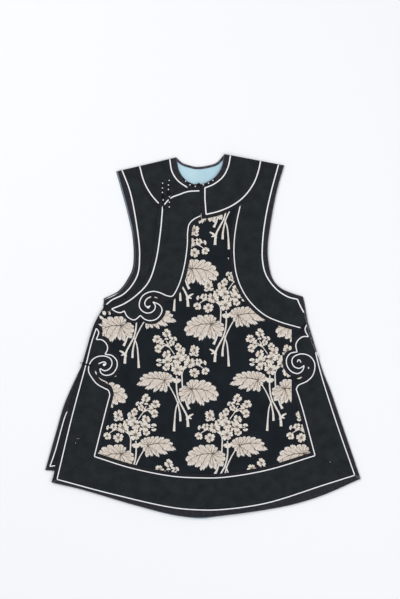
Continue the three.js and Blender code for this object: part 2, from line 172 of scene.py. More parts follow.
def divided(points: Line, step: float, closed: bool = True) -> Line:
    """A line whose long legs are cut into shorter ones, with each corner kept."""
    after = np.roll(points, -1, 0) if closed else points[1:]
    legs = []
    for a, b in zip(points, after):
        count = max(int(math.ceil(math.dist(a, b) / step)), 1)
        legs.append(a + (b - a) * np.arange(count)[:, None] / count)
    return np.vstack(legs if closed else [*legs, points[-1:]])


def aside(points: Line, distance: float, closed: bool = False) -> Line:
    """A line moved to its left by a distance, mitred at its bends.

    Args:
        points: Rows of x, y.
        distance: How far to the left, in millimetres, or to the right if negative.
        closed: Whether the last point joins the first.

    Returns:
        Rows of x, y, one for each of the line's own.
    """
    before, after = np.roll(points, 1, 0), np.roll(points, -1, 0)
    if not closed:
        before[0], after[-1] = points[0], points[-1]
    into, out = points - before, after - points
    if not closed:
        into[0], out[-1] = out[0], into[-1]
    into = into / np.hypot(*into.T)[:, None]
    out = out / np.hypot(*out.T)[:, None]
    run = into + out
    run = run / np.maximum(np.hypot(*run.T), TINY)[:, None]
    cosine = np.maximum(np.abs((run * into).sum(1)), MITRE)
    return points + leftward(run) * (distance / cosine)[:, None]


def inside(points: np.ndarray, loop: Line) -> np.ndarray:
    """Which points lie inside a closed outline."""
    hit = np.zeros(len(points), bool)
    near = np.flatnonzero(((points > loop.min(0)) & (points < loop.max(0))).all(1))
    a, b = loop, np.roll(loop, -1, 0)
    rise = np.where(a[:, 1] == b[:, 1], 1.0, b[:, 1] - a[:, 1])
    for part in np.array_split(near, 1 + len(near) * len(loop) // BATCH):
        x, y = points[part, 0, None], points[part, 1, None]
        crosses = (a[:, 1] > y) != (b[:, 1] > y)
        right = x < a[:, 0] + (y - a[:, 1]) * (b[:, 0] - a[:, 0]) / rise
        hit[part] = (crosses & right).sum(1) % 2 == 1
    return hit


def tree_of(points: np.ndarray) -> KDTree:
    """A search tree over points of the draft."""
    tree = KDTree(len(points))
    for i, (x, y) in enumerate(points):
        tree.insert((x, y, 0.0), i)
    tree.balance()
    return tree


def distance_to(points: np.ndarray, tree: KDTree) -> np.ndarray:
    """How far each point is from the nearest one in a tree."""
    return np.array([tree.find((x, y, 0.0))[2] for x, y in points])


def along_and_across(points: np.ndarray, guide: Line) -> np.ndarray:
    """Each point's place along a guide line, and its distance to the left of it."""
    run, tree = lengths(guide), tree_of(guide)
    near = np.array([tree.find((x, y, 0.0))[1] for x, y in points])
    ahead, off = heading(guide)[near], points - guide[near]
    return np.column_stack([run[near] + (off * ahead).sum(1), (off * leftward(ahead)).sum(1)])


# ---- The cloth's relief ----


@dataclass(frozen=True)
class Swell:
    """A soft rise of the front: centre, direction in degrees, reach and height."""

    x: float
    y: float
    turn: float
    along: float
    across: float
    height: float

    def at(self, points: np.ndarray) -> np.ndarray:
        """How far it lifts the cloth at rows of x, y."""
        off, ahead = points - (self.x, self.y), unit(self.turn)
        along, across = off @ ahead, off @ (-ahead[1], ahead[0])
        return self.height * np.exp(-((along / self.along) ** 2) - (across / self.across) ** 2)


@dataclass(frozen=True)
class Crease:
    """A crease from one point to another, raised if its height is positive."""

    x: float
    y: float
    to_x: float
    to_y: float
    width: float
    height: float
    bow: float = 0.06  # how far it bends to its left, as a share of its length
    fading: float = 0.35  # the share of its length in which each end fades

    def at(self, points: np.ndarray) -> np.ndarray:
        """How far it lifts the cloth at rows of x, y."""
        start, end = (self.x, self.y), (self.to_x, self.to_y)
        reach = math.dist(start, end)
        ahead = np.subtract(end, start) / reach
        off = points - start
        along, across = off @ ahead, off @ (-ahead[1], ahead[0])
        across = across - self.bow * reach * np.sin(math.pi * along / reach)
        ends = np.minimum(along, reach - along) / (self.fading * reach) + self.fading
        return self.height * smoothed(ends.clip(0, 1)) * np.exp(-((across / self.width) ** 2))


@dataclass(frozen=True)
class Ripple:
    """Uneven waves: their height, their range of lengths, and the seed of their order."""

    height: float
    shortest: float
    longest: float
    seed: int
    count: int = 14

    def at(self, points: np.ndarray) -> np.ndarray:
        """How far they lift the cloth at rows of x, y."""
        rng = np.random.default_rng(self.seed)
        wave = 2 * math.pi / rng.uniform(self.shortest, self.longest, self.count)
        turn, phase = rng.uniform(0, 2 * math.pi, (2, self.count))
        x, y = points.T[:, :, None]
        waves = np.sin(wave * (x * np.cos(turn) + y * np.sin(turn)) + phase)
        return self.height * waves.sum(1) / math.sqrt(self.count)


@dataclass(frozen=True)
class Relief:
    """The heights that every layer of cloth follows."""

    lift: float = 2.6  # the front climbs onto the under-front
    lift_from: float = 200.0
    lift_to: float = 60.0
    deepest: float = -0.25  # a trough stops before it meets the layer below
    sunk: float = 0.8  # the share of the front's swells that a trough may sink through
    slack: Ripple = Ripple(0.16, 26, 70, 3)
    crumple: Ripple = Ripple(0.05, 9, 20, 4)
    pucker: Ripple = Ripple(0.12, 7, 15, 5)
    pucker_reach: float = 8.0  # from a seam
    swells: tuple[Swell, ...] = (
        Swell(20, -90, 90, 230, 130, 2.6),
        Swell(170, 60, -50, 130, 55, 1.6),
        Swell(-150, -20, 60, 120, 60, 1.2),
        Swell(60, -390, 12, 170, 60, 1.5),
        Swell(-120, -380, -20, 110, 55, 1.1),
    )
    creases: tuple[Crease, ...] = tuple(Crease(*row) for row in (
        (-14, -370, -9, -414, 4.5, -1.3), (-24, -368, -20, -420, 9, 0.6),
        (22, -378, 56, -416, 5, -1.3), (38, -372, 70, -410, 10, 0.6),
        (100, -356, 158, -392, 7, -1.0), (112, -350, 172, -384, 10, 0.6),
        (-150, -372, -96, -404, 9, 0.5), (-214, -350, -168, -392, 8, -0.5),
        (230, -330, 268, -372, 9, 0.6), (-300, -250, -262, -330, 9, 0.6),
        (-318, -230, -286, -318, 7, -0.5), (308, -232, 330, -318, 9, 0.6),
        (262, -150, 300, -236, 8, -0.5), (78, 232, 152, 226, 5, -0.9), (82, 241, 150, 236, 5, 0.8),
        (-96, 230, -44, 224, 5, -0.9), (-98, 240, -48, 234, 5, 0.8), (174, 66, 190, 28, 3.6, 0.9),
        (182, 70, 198, 30, 3.4, -0.9), (190, 76, 206, 34, 3.6, 1.0), (198, 74, 214, 34, 3.4, -0.9),
        (206, 76, 224, 36, 3.8, 1.0), (222, 76, 236, 34, 3.6, -0.8), (110, 130, 132, 88, 5, 0.9),
        (-150, 90, -100, 60, 6, 0.4), (-120, 130, -78, 108, 5, -0.4), (96, 380, 150, 330, 8, 0.4),
        (60, 420, 118, 380, 9, -0.4), (-190, 380, -150, 330, 8, 0.4),
        (-90, -60, -30, -150, 12, 0.5), (40, 40, 70, -60, 11, -0.4),
        (120, -60, 170, -150, 12, 0.5), (-180, -160, -140, -270, 11, 0.4),
        (0, -190, 26, -320, 12, -0.4), (200, -120, 222, -250, 11, 0.4),
    ))

    def rise(self, points: np.ndarray) -> np.ndarray:
        """The front's height above the lining's level, without its small creases.

        Args:
            points: Rows of x, y.

        Returns:
            A height for each row, in millimetres.
        """
        share = (self.lift_from - points[:, 0]) / (self.lift_from - self.lift_to)
        return self.lift * smoothed(share.clip(0, 1)) + self.swelling(points)

    def swelling(self, points: np.ndarray) -> np.ndarray:
        """How far the front's soft swells lift it at rows of x, y."""
        return sum(swell.at(points) for swell in self.swells)

    def fine(self, points: np.ndarray, seams: KDTree, front: bool) -> np.ndarray:
        """Creases, the cloth's unevenness, and the pucker beside each seam.

        Args:
            points: Rows of x, y.
            seams: A search tree over the points of every sewn line.
            front: Whether the cloth is the front's, whose troughs have its swells' depth.

        Returns:
            A height for each row, in millimetres.
        """
        near = np.exp(-distance_to(points, seams) / self.pucker_reach)
        z = self.slack.at(points) + self.crumple.at(points) + near * self.pucker.at(points)
        z = z + sum(crease.at(points) for crease in self.creases)
        return np.maximum(z, self.deepest - (self.sunk * self.swelling(points) if front else 0))


# ---- Meshes ----


@dataclass
class Mesh:
    """A mesh as arrays, in millimetres of the draft, with what its finish reads.

    lay holds, for each vertex, its place along and across the threads and its distance from
    the edge. tint is a number from 0 to 1 that varies a finish between its shades.
    """

    points: np.ndarray
    faces: np.ndarray
    lay: np.ndarray
    tint: np.ndarray
    finish: np.ndarray

    @staticmethod
    def of(points: np.ndarray, faces: np.ndarray, lay: np.ndarray, tint: float = 0.5) -> "Mesh":
        """A mesh with one tint and its first finish."""
        faces = np.array(faces, int).reshape(-1, 3)
        points = np.array(points, float)
        return Mesh(points, faces, np.array(lay, float), np.full(len(points), tint),
                    np.zeros(len(faces), int))

    def finished(self, index: int) -> "Mesh":
        """The mesh with another of its object's finishes."""
        return Mesh(self.points, self.faces, self.lay, self.tint, np.full(len(self.faces), index))

    @staticmethod
    def joined(parts: Iterable["Mesh"]) -> "Mesh":
        """Several meshes as one."""
        parts = list(parts)
        starts = np.cumsum([0, *(len(p.points) for p in parts)])
        return Mesh(
            np.vstack([p.points for p in parts]),
            np.vstack([p.faces + start for p, start in zip(parts, starts)]),
            np.vstack([p.lay for p in parts]),
            np.concatenate([p.tint for p in parts]),
            np.concatenate([p.finish for p in parts]),
        )

    def to_object(self, name: str, materials: Sequence[bpy.types.Material]) -> bpy.types.Object:
        """A smooth-shaded object of the mesh, in metres.

        Args:
            name: The object's name.
            materials: Its finishes, in the order that the faces count them.

        Returns:
            The object, linked to the scene.
        """
        data = bpy.data.meshes.new(name)
        metres = (self.points + (0.0, CENTRE_Y, 0.0)) * MM
        data.from_pydata(metres.tolist(), [], self.faces.tolist())
        data.polygons.foreach_set("use_smooth", [True] * len(self.faces))
        data.polygons.foreach_set("material_index", self.finish.tolist())
        data.attributes.new("lay", "FLOAT_VECTOR", "POINT").data.foreach_set(
            "vector", self.lay.astype(np.float32).ravel()
        )
        data.attributes.new("tint", "FLOAT", "POINT").data.foreach_set(
            "value", self.tint.astype(np.float32)
        )
        for material in materials:
            data.materials.append(material)
        made = bpy.data.objects.new(name, data)
        bpy.context.scene.collection.objects.link(made)
        return made


class Cutting:
    """One layer of cloth, cut along the outlines of its pieces."""

    leg: float = 3.0  # the longest step along an outline
    beside: float = 1.3  # how far the ring of points beside an outline lies from it
    beside_clear: float = 1.1  # and from any other outline
    row: float = 0.87  # between rows of inner points, as a share of the grain
    clear_share: float = 0.55  # between inner points and an outline, as a share of the grain
    weld: float = 0.01

    def __init__(self, outlines: dict[str, Line], grain: float) -> None:
        """Cuts the layer into triangles that keep to the outlines.

        Args:
            outlines: Each piece's closed outline. Where two overlap, the first has the cloth.
            grain: The step between inner points.
        """
        self.names = list(outlines)
        loops = [divided(loop, self.leg) for loop in outlines.values()]
        starts = np.cumsum([0, *map(len, loops)])
        edges = [
            (start + i, start + (i + 1) % len(loop))
            for start, loop in zip(starts, loops)
            for i in range(len(loop))
        ]
        border = np.vstack(loops)
        tree = tree_of(border)
        rings = [
            aside(loop, side * self.beside, closed=True)[::2] for loop in loops for side in (-1, 1)
        ]
        ring = self.clear(np.vstack(rings), tree, loops, self.beside_clear)
        low, high = border.min(0), border.max(0)
        rows = np.arange(low[1], high[1], grain * self.row)
        columns = np.arange(low[0], high[0], grain)
        x, y = np.meshgrid(columns, rows)
        x = x + (np.arange(len(rows)) % 2)[:, None] * grain / 2
        grid = np.column_stack([x.ravel(), y.ravel()])
        grid = self.clear(grid, tree, loops, grain * self.clear_share)
        every = np.vstack([border, ring, grid])
        found = delaunay_2d_cdt([tuple(p) for p in every.tolist()], edges, [], 0, self.weld, False)
        self.points = np.array([tuple(p) for p in found[0]])
        self.faces = np.array([f for f in found[2] if len(f) == 3])
        a, b, c = (self.points[self.faces[:, k]] for k in range(3))
        middle = (a + b + c) / 3
        turned = (b - a)[:, 0] * (c - a)[:, 1] - (b - a)[:, 1] * (c - a)[:, 0] < 0
        self.faces[turned] = self.faces[turned][:, ::-1]
        self.owner = np.full(len(self.faces), -1)
        for i, loop in reversed(list(enumerate(loops))):
            self.owner[inside(middle, loop)] = i

    @staticmethod
    def clear(points: np.ndarray, tree: KDTree, loops: list[Line], room: float) -> np.ndarray:
        """The points that lie inside a piece with some room to its edge."""
        held = np.zeros(len(points), bool)
        for loop in loops:
            held |= inside(points, loop)
        points = points[held]
        return points[distance_to(points, tree) > room]

    def piece(self, name: str, top: Heights, depth: float, guide: Line | None = None,
              roll: float = 0.3) -> Mesh:
        """A piece as a thin closed shell whose edges roll down.

        Args:
            name: The piece's name.
            top: Gives the upper side's height at rows of x, y.
            depth: How thick the cloth is.
            guide: The line that its threads follow, or None to follow x and y.
            roll: How far the upper edge rolls down.

        Returns:
            The shell.
        """
        faces = self.faces[self.owner == self.names.index(name)]
        used, faces = np.unique(faces, return_inverse=True)
        faces = faces.reshape(-1, 3)
        flat = self.points[used]
        pairs = np.vstack([faces[:, [0, 1]], faces[:, [1, 2]], faces[:, [2, 0]]])
        known = {tuple(pair) for pair in pairs.tolist()}
        rim = np.array([pair for pair in pairs.tolist() if (pair[1], pair[0]) not in known])
        heights = top(flat)
        edge = distance_to(flat, tree_of(flat[np.unique(rim)]))
        upper = heights - roll * (edge < ON_EDGE)
        lower = heights - depth
        count = len(flat)
        walls = np.vstack([
            np.column_stack([rim[:, 1], rim[:, 0], rim[:, 0] + count]),
            np.column_stack([rim[:, 1], rim[:, 0] + count, rim[:, 1] + count]),
        ])
        lay = flat if guide is None else along_and_across(flat, guide)
        lay = np.column_stack([lay, edge])
        return Mesh.of(
            np.vstack([np.column_stack([flat, upper]), np.column_stack([flat, lower])]),
            np.vstack([faces, faces[:, ::-1] + count, walls]),
            np.vstack([lay, lay]),
        )


TIP_SHARE = 0.2  # of a cord's width, at the very end of its rounded tip


def around(count: int) -> np.ndarray:
    """Angles at even steps round a circle."""
    return np.arange(count) * 2 * math.pi / count


def corded(rings: np.ndarray, run: np.ndarray, turn: np.ndarray, radius: float) -> Mesh:
    """A closed cord through rings of points.

    Args:
        rings: Each ring's points, as rows of x, y, z.
        run: How far along the cord each ring lies.
        turn: The angle of each of a ring's points.
        radius: Half the cord's width.

    Returns:
        The cord.
    """
    count, sides = len(run), len(turn)
    start = np.arange(count - 1)[:, None] * sides
    a, b = start + np.arange(sides), start + (np.arange(sides) + 1) % sides
    walls = [
        np.column_stack([corner.ravel() for corner in three])
        for three in ((a, b, b + sides), (a, b + sides, a + sides))
    ]
    fan = np.arange(1, sides - 1)
    end = np.column_stack([np.zeros_like(fan), fan + 1, fan])
    lay = np.column_stack([
        np.repeat(run, sides), np.tile(turn * radius, count), np.full(count * sides, radius)
    ])
    faces = np.vstack([*walls, end, end[:, ::-1] + (count - 1) * sides])
    return Mesh.of(rings.reshape(-1, 3), faces, lay)


def tube(line: Line, heights: np.ndarray, wide: float, high: float, sides: int = 8) -> Mesh:
    """A cord along a line, with an oval section and closed, rounded ends.

    Args:
        line: Rows of x, y that the cord's middle follows.
        heights: The middle's height at each row.
        wide: Half the cord's width.
        high: Half its height.
        sides: How many faces go round it.

    Returns:
        The cord.
    """
    run, turn = lengths(line), around(sides)
    tip = np.minimum(run, run[-1] - run)
    swell = np.sqrt(np.clip(1 - (1 - tip / wide).clip(0, 1) ** 2, TIP_SHARE**2, 1))[:, None]
    side = leftward(heading(line))[:, None] * (np.cos(turn) * wide * swell)[:, :, None]
    z = heights[:, None] + np.sin(turn) * high * swell
    return corded(np.dstack([line[:, None] + side, z]), run, turn, wide)


# ---- The draft: each dataclass holds the knots of its seam lines ----


@dataclass(frozen=True)
class NeckDraft:
    """The neck, from the shoulder seams to where the fronts cross."""

    back: Knots = ((-67, 445), (-51, 431), (-34, 425), (-15, 421), (16, 425), (35, 432), (53, 452))
    left: Knots = ((-66, 445), (-59, 411), (-41, 387), (-15, 375))
    right: Knots = ((-15, 375), (-1, 378), (26, 392), (45, 417), (53, 453))
    piping_left: Knots = ((-83, 441), (-77, 409), (-63, 387), (-37, 368))
    piping_right: Knots = ((69, 450), (63, 421), (50, 396), (28, 378), (5, 368))
    lap_x: float = -5.0
    lap_neck_y: float = 377.0
    lap_band_y: float = 361.0
    lap_over: float = 1.0  # how far the neck's binding starts past the lap


@dataclass(frozen=True)
class CollarDraft:
    """The satin collar bands on both sides of the neck."""

    centre: Knots = ((5, 368), (5, 342), (8, 302))
    right: Knots = ((8, 302), (40, 310), (76, 326), (104, 348), (127, 380), (139, 412), (144, 436))
    left: Knots = ((-158, 423), (-147, 384), (-130, 353), (-108, 327))
    edging_centre: Knots = ((-5, 377), (-5, 340), (-3, 291))
    band_from: float = 96.0  # the x from which the armhole's band follows the collar's edging


@dataclass(frozen=True)
class ArmholeDraft:
    """Both armholes and the band round the right one."""

    left: Knots = (
        (-214, 410), (-186, 308), (-172, 239), (-172, 172), (-183, 144), (-208, 110), (-247, 89),
    )
    right: Knots = (
        (203, 425), (184, 358), (167, 265), (162, 217), (165, 176), (175, 140), (194, 119),
        (219, 107), (250, 97),
    )
    piping_left: Knots = (
        (-202, 413), (-181, 356), (-160, 236), (-158, 197), (-162, 155), (-178, 124),
        (-200, 102), (-228, 88), (-241, 77),
    )
    piping_right: Knots = (
        (189, 427), (171, 361), (156, 291), (149, 233), (149, 185), (158, 150), (182, 117),
        (211, 97), (236, 90),
    )
    piping_down: Knots = ((236, 90), (243, 74), (252, 57))
    inner: Knots = (
        (93, 323), (84, 281), (78, 233), (78, 195), (84, 151), (100, 110), (123, 78),
        (156, 50), (195, 33), (244, 19),
    )
    side_end: Knots = ((262, 34), (258, 57))  # where the side's binding meets the armhole's
    band_foot: Knots = ((256, 30),)
    band_foot_y: float = 26.0


@dataclass(frozen=True)
class OverlapDraft:
    """The front's free edge over the wearer's right side, and the cloud scroll at its foot."""

    top_edge: Knots = ((-15, 375), (-37, 369), (-59, 362), (-85, 352), (-106, 335), (-112, 312))
    edge: Knots = (
        (-112, 312), (-118, 259), (-129, 186), (-145, 139), (-171, 111), (-201, 89), (-247, 72),
    )
    top: Knots = ((-8, 361), (-37, 359), (-58, 352), (-80, 343), (-98, 325))
    corner: Knots = ((-101, 319),)
    outer: Knots = (
        (-101, 313), (-106, 258), (-118, 183), (-136, 133), (-164, 102), (-195, 80), (-228, 66),
    )
    inner: Knots = (
        (-5, 299), (-24, 289), (-34, 278), (-38, 258), (-39, 225), (-46, 175), (-57, 134),
        (-70, 106), (-77, 98), (-89, 99), (-108, 107), (-123, 110), (-140, 106), (-151, 98),
        (-158, 84), (-158, 71), (-151, 61), (-140, 56), (-128, 58), (-120, 66), (-119, 75),
        (-125, 84),
    )
    scallops: tuple[Knots, ...] = (
        ((-228, 66), (-216, 59), (-206, 57), (-196, 61)),
        ((-196, 61), (-190, 49), (-180, 41), (-170, 39), (-156, 50)),
        ((-156, 50), (-144, 40), (-130, 37), (-116, 41), (-105, 53), (-102, 65), (-108, 76),
         (-125, 84)),
    )
    edging: Knots = (
        (-4, 288), (-18, 281), (-25, 271), (-28, 256), (-29, 224), (-36, 173), (-47, 130),
        (-61, 101), (-76, 87), (-90, 86), (-93, 72), (-93, 58), (-103, 40), (-121, 29),
        (-141, 30), (-156, 38), (-170, 30), (-186, 34), (-199, 48), (-214, 48), (-234, 55),
    )
    curl: Knots = ((-129, 97), (-140, 91), (-145, 81), (-142, 73), (-136, 70), (-131, 75))


@dataclass(frozen=True)
class SideDraft:
    """One side of the front: its edge, the slit below it and the scroll at the slit's top."""

    edge: Knots
    slit: Knots
    trim: Knots
    piping: Knots
    scroll: tuple[Knots, ...]
    inner: tuple[Knots, ...]
    edging: tuple[Knots, ...]
    mitre: Knots
    curl: Knots


LEFT_SIDE = SideDraft(
    edge=((-247, 72), (-271, 29), (-290, -32), (-300, -67)),
    slit=((-300, -67), (-318, -122), (-346, -222), (-372, -346), (-378, -367)),
    trim=((-228, 66), (-240, 54), (-254, 36), (-266, 18)),
    piping=((-266, 18), (-278, -18), (-290, -66), (-326, -200), (-364, -359)),
    scroll=(
        ((-266, 18), (-260, 8), (-266, -10)),
        ((-266, -10), (-252, -11), (-240, -22), (-238, -34), (-244, -47)),
        ((-244, -47), (-227, -50), (-215, -63), (-215, -80), (-227, -96), (-245, -99), (-255, -92),
         (-257, -82)),
    ),
    inner=(
        ((-257, -82), (-245, -88), (-233, -83), (-227, -72), (-229, -60), (-239, -53), (-252, -51),
         (-266, -54), (-277, -62), (-284, -75), (-285, -90), (-278, -104), (-264, -121),
         (-247, -131), (-236, -137), (-232, -148)),
        ((-232, -148), (-242, -186), (-271, -302)),
    ),
    edging=(
        ((-256, 31), (-250, 10), (-254, 0), (-243, -3), (-230, -18), (-230, -38), (-215, -46),
         (-205, -62), (-206, -85), (-219, -102), (-238, -109), (-243, -117), (-229, -126),
         (-222, -146)),
        ((-222, -146), (-232, -186), (-259, -291)),
    ),
    mitre=((-364, -359), (-271, -302), (-259, -291)),
    curl=((-261, -71), (-252, -67), (-245, -66), (-242, -70), (-245, -75)),
)
RIGHT_SIDE = SideDraft(
    edge=((250, 97), (254, 81), (262, 34), (277, -16), (284, -39)),
    slit=((284, -39), (301, -93), (317, -132), (344, -211), (394, -358)),
    trim=((252, 57), (255, 42), (259, 27), (263, 10), (269, -12), (281, -42)),
    piping=((281, -42), (294, -94), (331, -211), (379, -349)),
    scroll=(
        ((259, 27), (255, 15), (263, -3)),
        ((263, -3), (250, -3), (238, -11), (232, -23), (235, -41)),
        ((235, -41), (218, -45), (209, -58), (210, -75), (221, -90), (237, -95), (249, -87),
         (253, -75)),
    ),
    inner=(
        ((253, -75), (240, -82), (227, -77), (222, -65), (226, -54), (246, -46), (267, -52),
         (279, -70), (275, -98), (260, -114), (238, -125), (233, -134)),
        ((233, -134), (244, -167), (280, -300)),
    ),
    edging=(
        ((252, 24), (248, 14), (252, 5), (234, 1), (223, -14), (223, -33), (207, -42), (199, -60),
         (202, -82), (216, -99), (234, -105), (240, -112), (228, -120), (222, -134)),
        ((222, -134), (234, -170), (267, -291)),
    ),
    mitre=((379, -349), (280, -300), (267, -291)),
    curl=((235.5, -67), (238, -61), (241, -61), (245, -68)),
)


@dataclass(frozen=True)
class HemDraft:
    """The hem: its edge, and its band's outer and inner piping."""

    edge: Knots = (
        (-378, -367), (-305, -384), (-165, -425), (-63, -450), (-7, -455), (49, -450),
        (160, -435), (230, -421), (300, -399), (394, -358),
    )
    outer: Knots = (
        (-364, -359), (-229, -395), (-76, -429), (-7, -435), (49, -434), (160, -418),
        (300, -374), (379, -349),
    )
    inner: Knots = (
        (-271, -302), (-178, -331), (-76, -351), (-7, -355), (49, -354), (160, -336), (280, -300),
    )


@dataclass(frozen=True)
class UnderDraft:
    """The under-front, whose lower left corner shows past the front.

    The corners are those of its bands and bindings, where no seam's line gives them.
    """

    hidden: Knots = ((-246, 62), (-267, 29), (-286, -32), (-297, -64))
    slit: Knots = (
        (-297, -64), (-304, -78), (-333, -140), (-348, -177), (-369, -249), (-394, -337),
    )
    hem: Knots = ((-394, -337), (-369, -338), (-200, -386), (15, -425))
    inner: Knots = ((15, 300), (-2, 362), (-8, 373))
    piping: Knots = ((-320, -132), (-333, -178), (-344, -202), (-369, -290), (-382, -327))
    trim_end: Knots = ((-369, -325), (-355, -334))
    armhole_corner: Knots = ((-249, 73),)
    armhole_binding_corner: Knots = ((-249, 75),)
    armhole_band_corner: Knots = ((-98, 305),)
    collar_corner: Knots = ((-96, 316),)
    collar_front: Knots = ((-20, 362), (-30, 348), (-90, 318))
    side_top_y: float = -100.0
    side_binding_top: Knots = ((-310, -100), (-314, -122))
    side_binding_foot: Knots = ((-362, -338), (-394, -337))
    side_band_back: Knots = ((-320, -310), (-290, -200), (-288, -100), (-312, -120))


@dataclass(frozen=True)
class BackDraft:
    """The back, which the fronts cover but for the neck."""

    side_left: Knots = (
        (-244, 74), (-262, 29), (-281, -32), (-291, -67), (-339, -222), (-367, -340), (-373, -359),
    )
    side_right: Knots = (
        (248, 95), (259, 34), (274, -16), (281, -39), (341, -211), (386, -354),
    )
    hem: Knots = (
        (-373, -359), (-229, -402), (-95, -441), (-7, -458), (38, -452), (160, -431),
        (300, -394), (386, -354),
    )
    armhole_left_inset: float = 3.0
    armhole_right_inset: float = 1.5


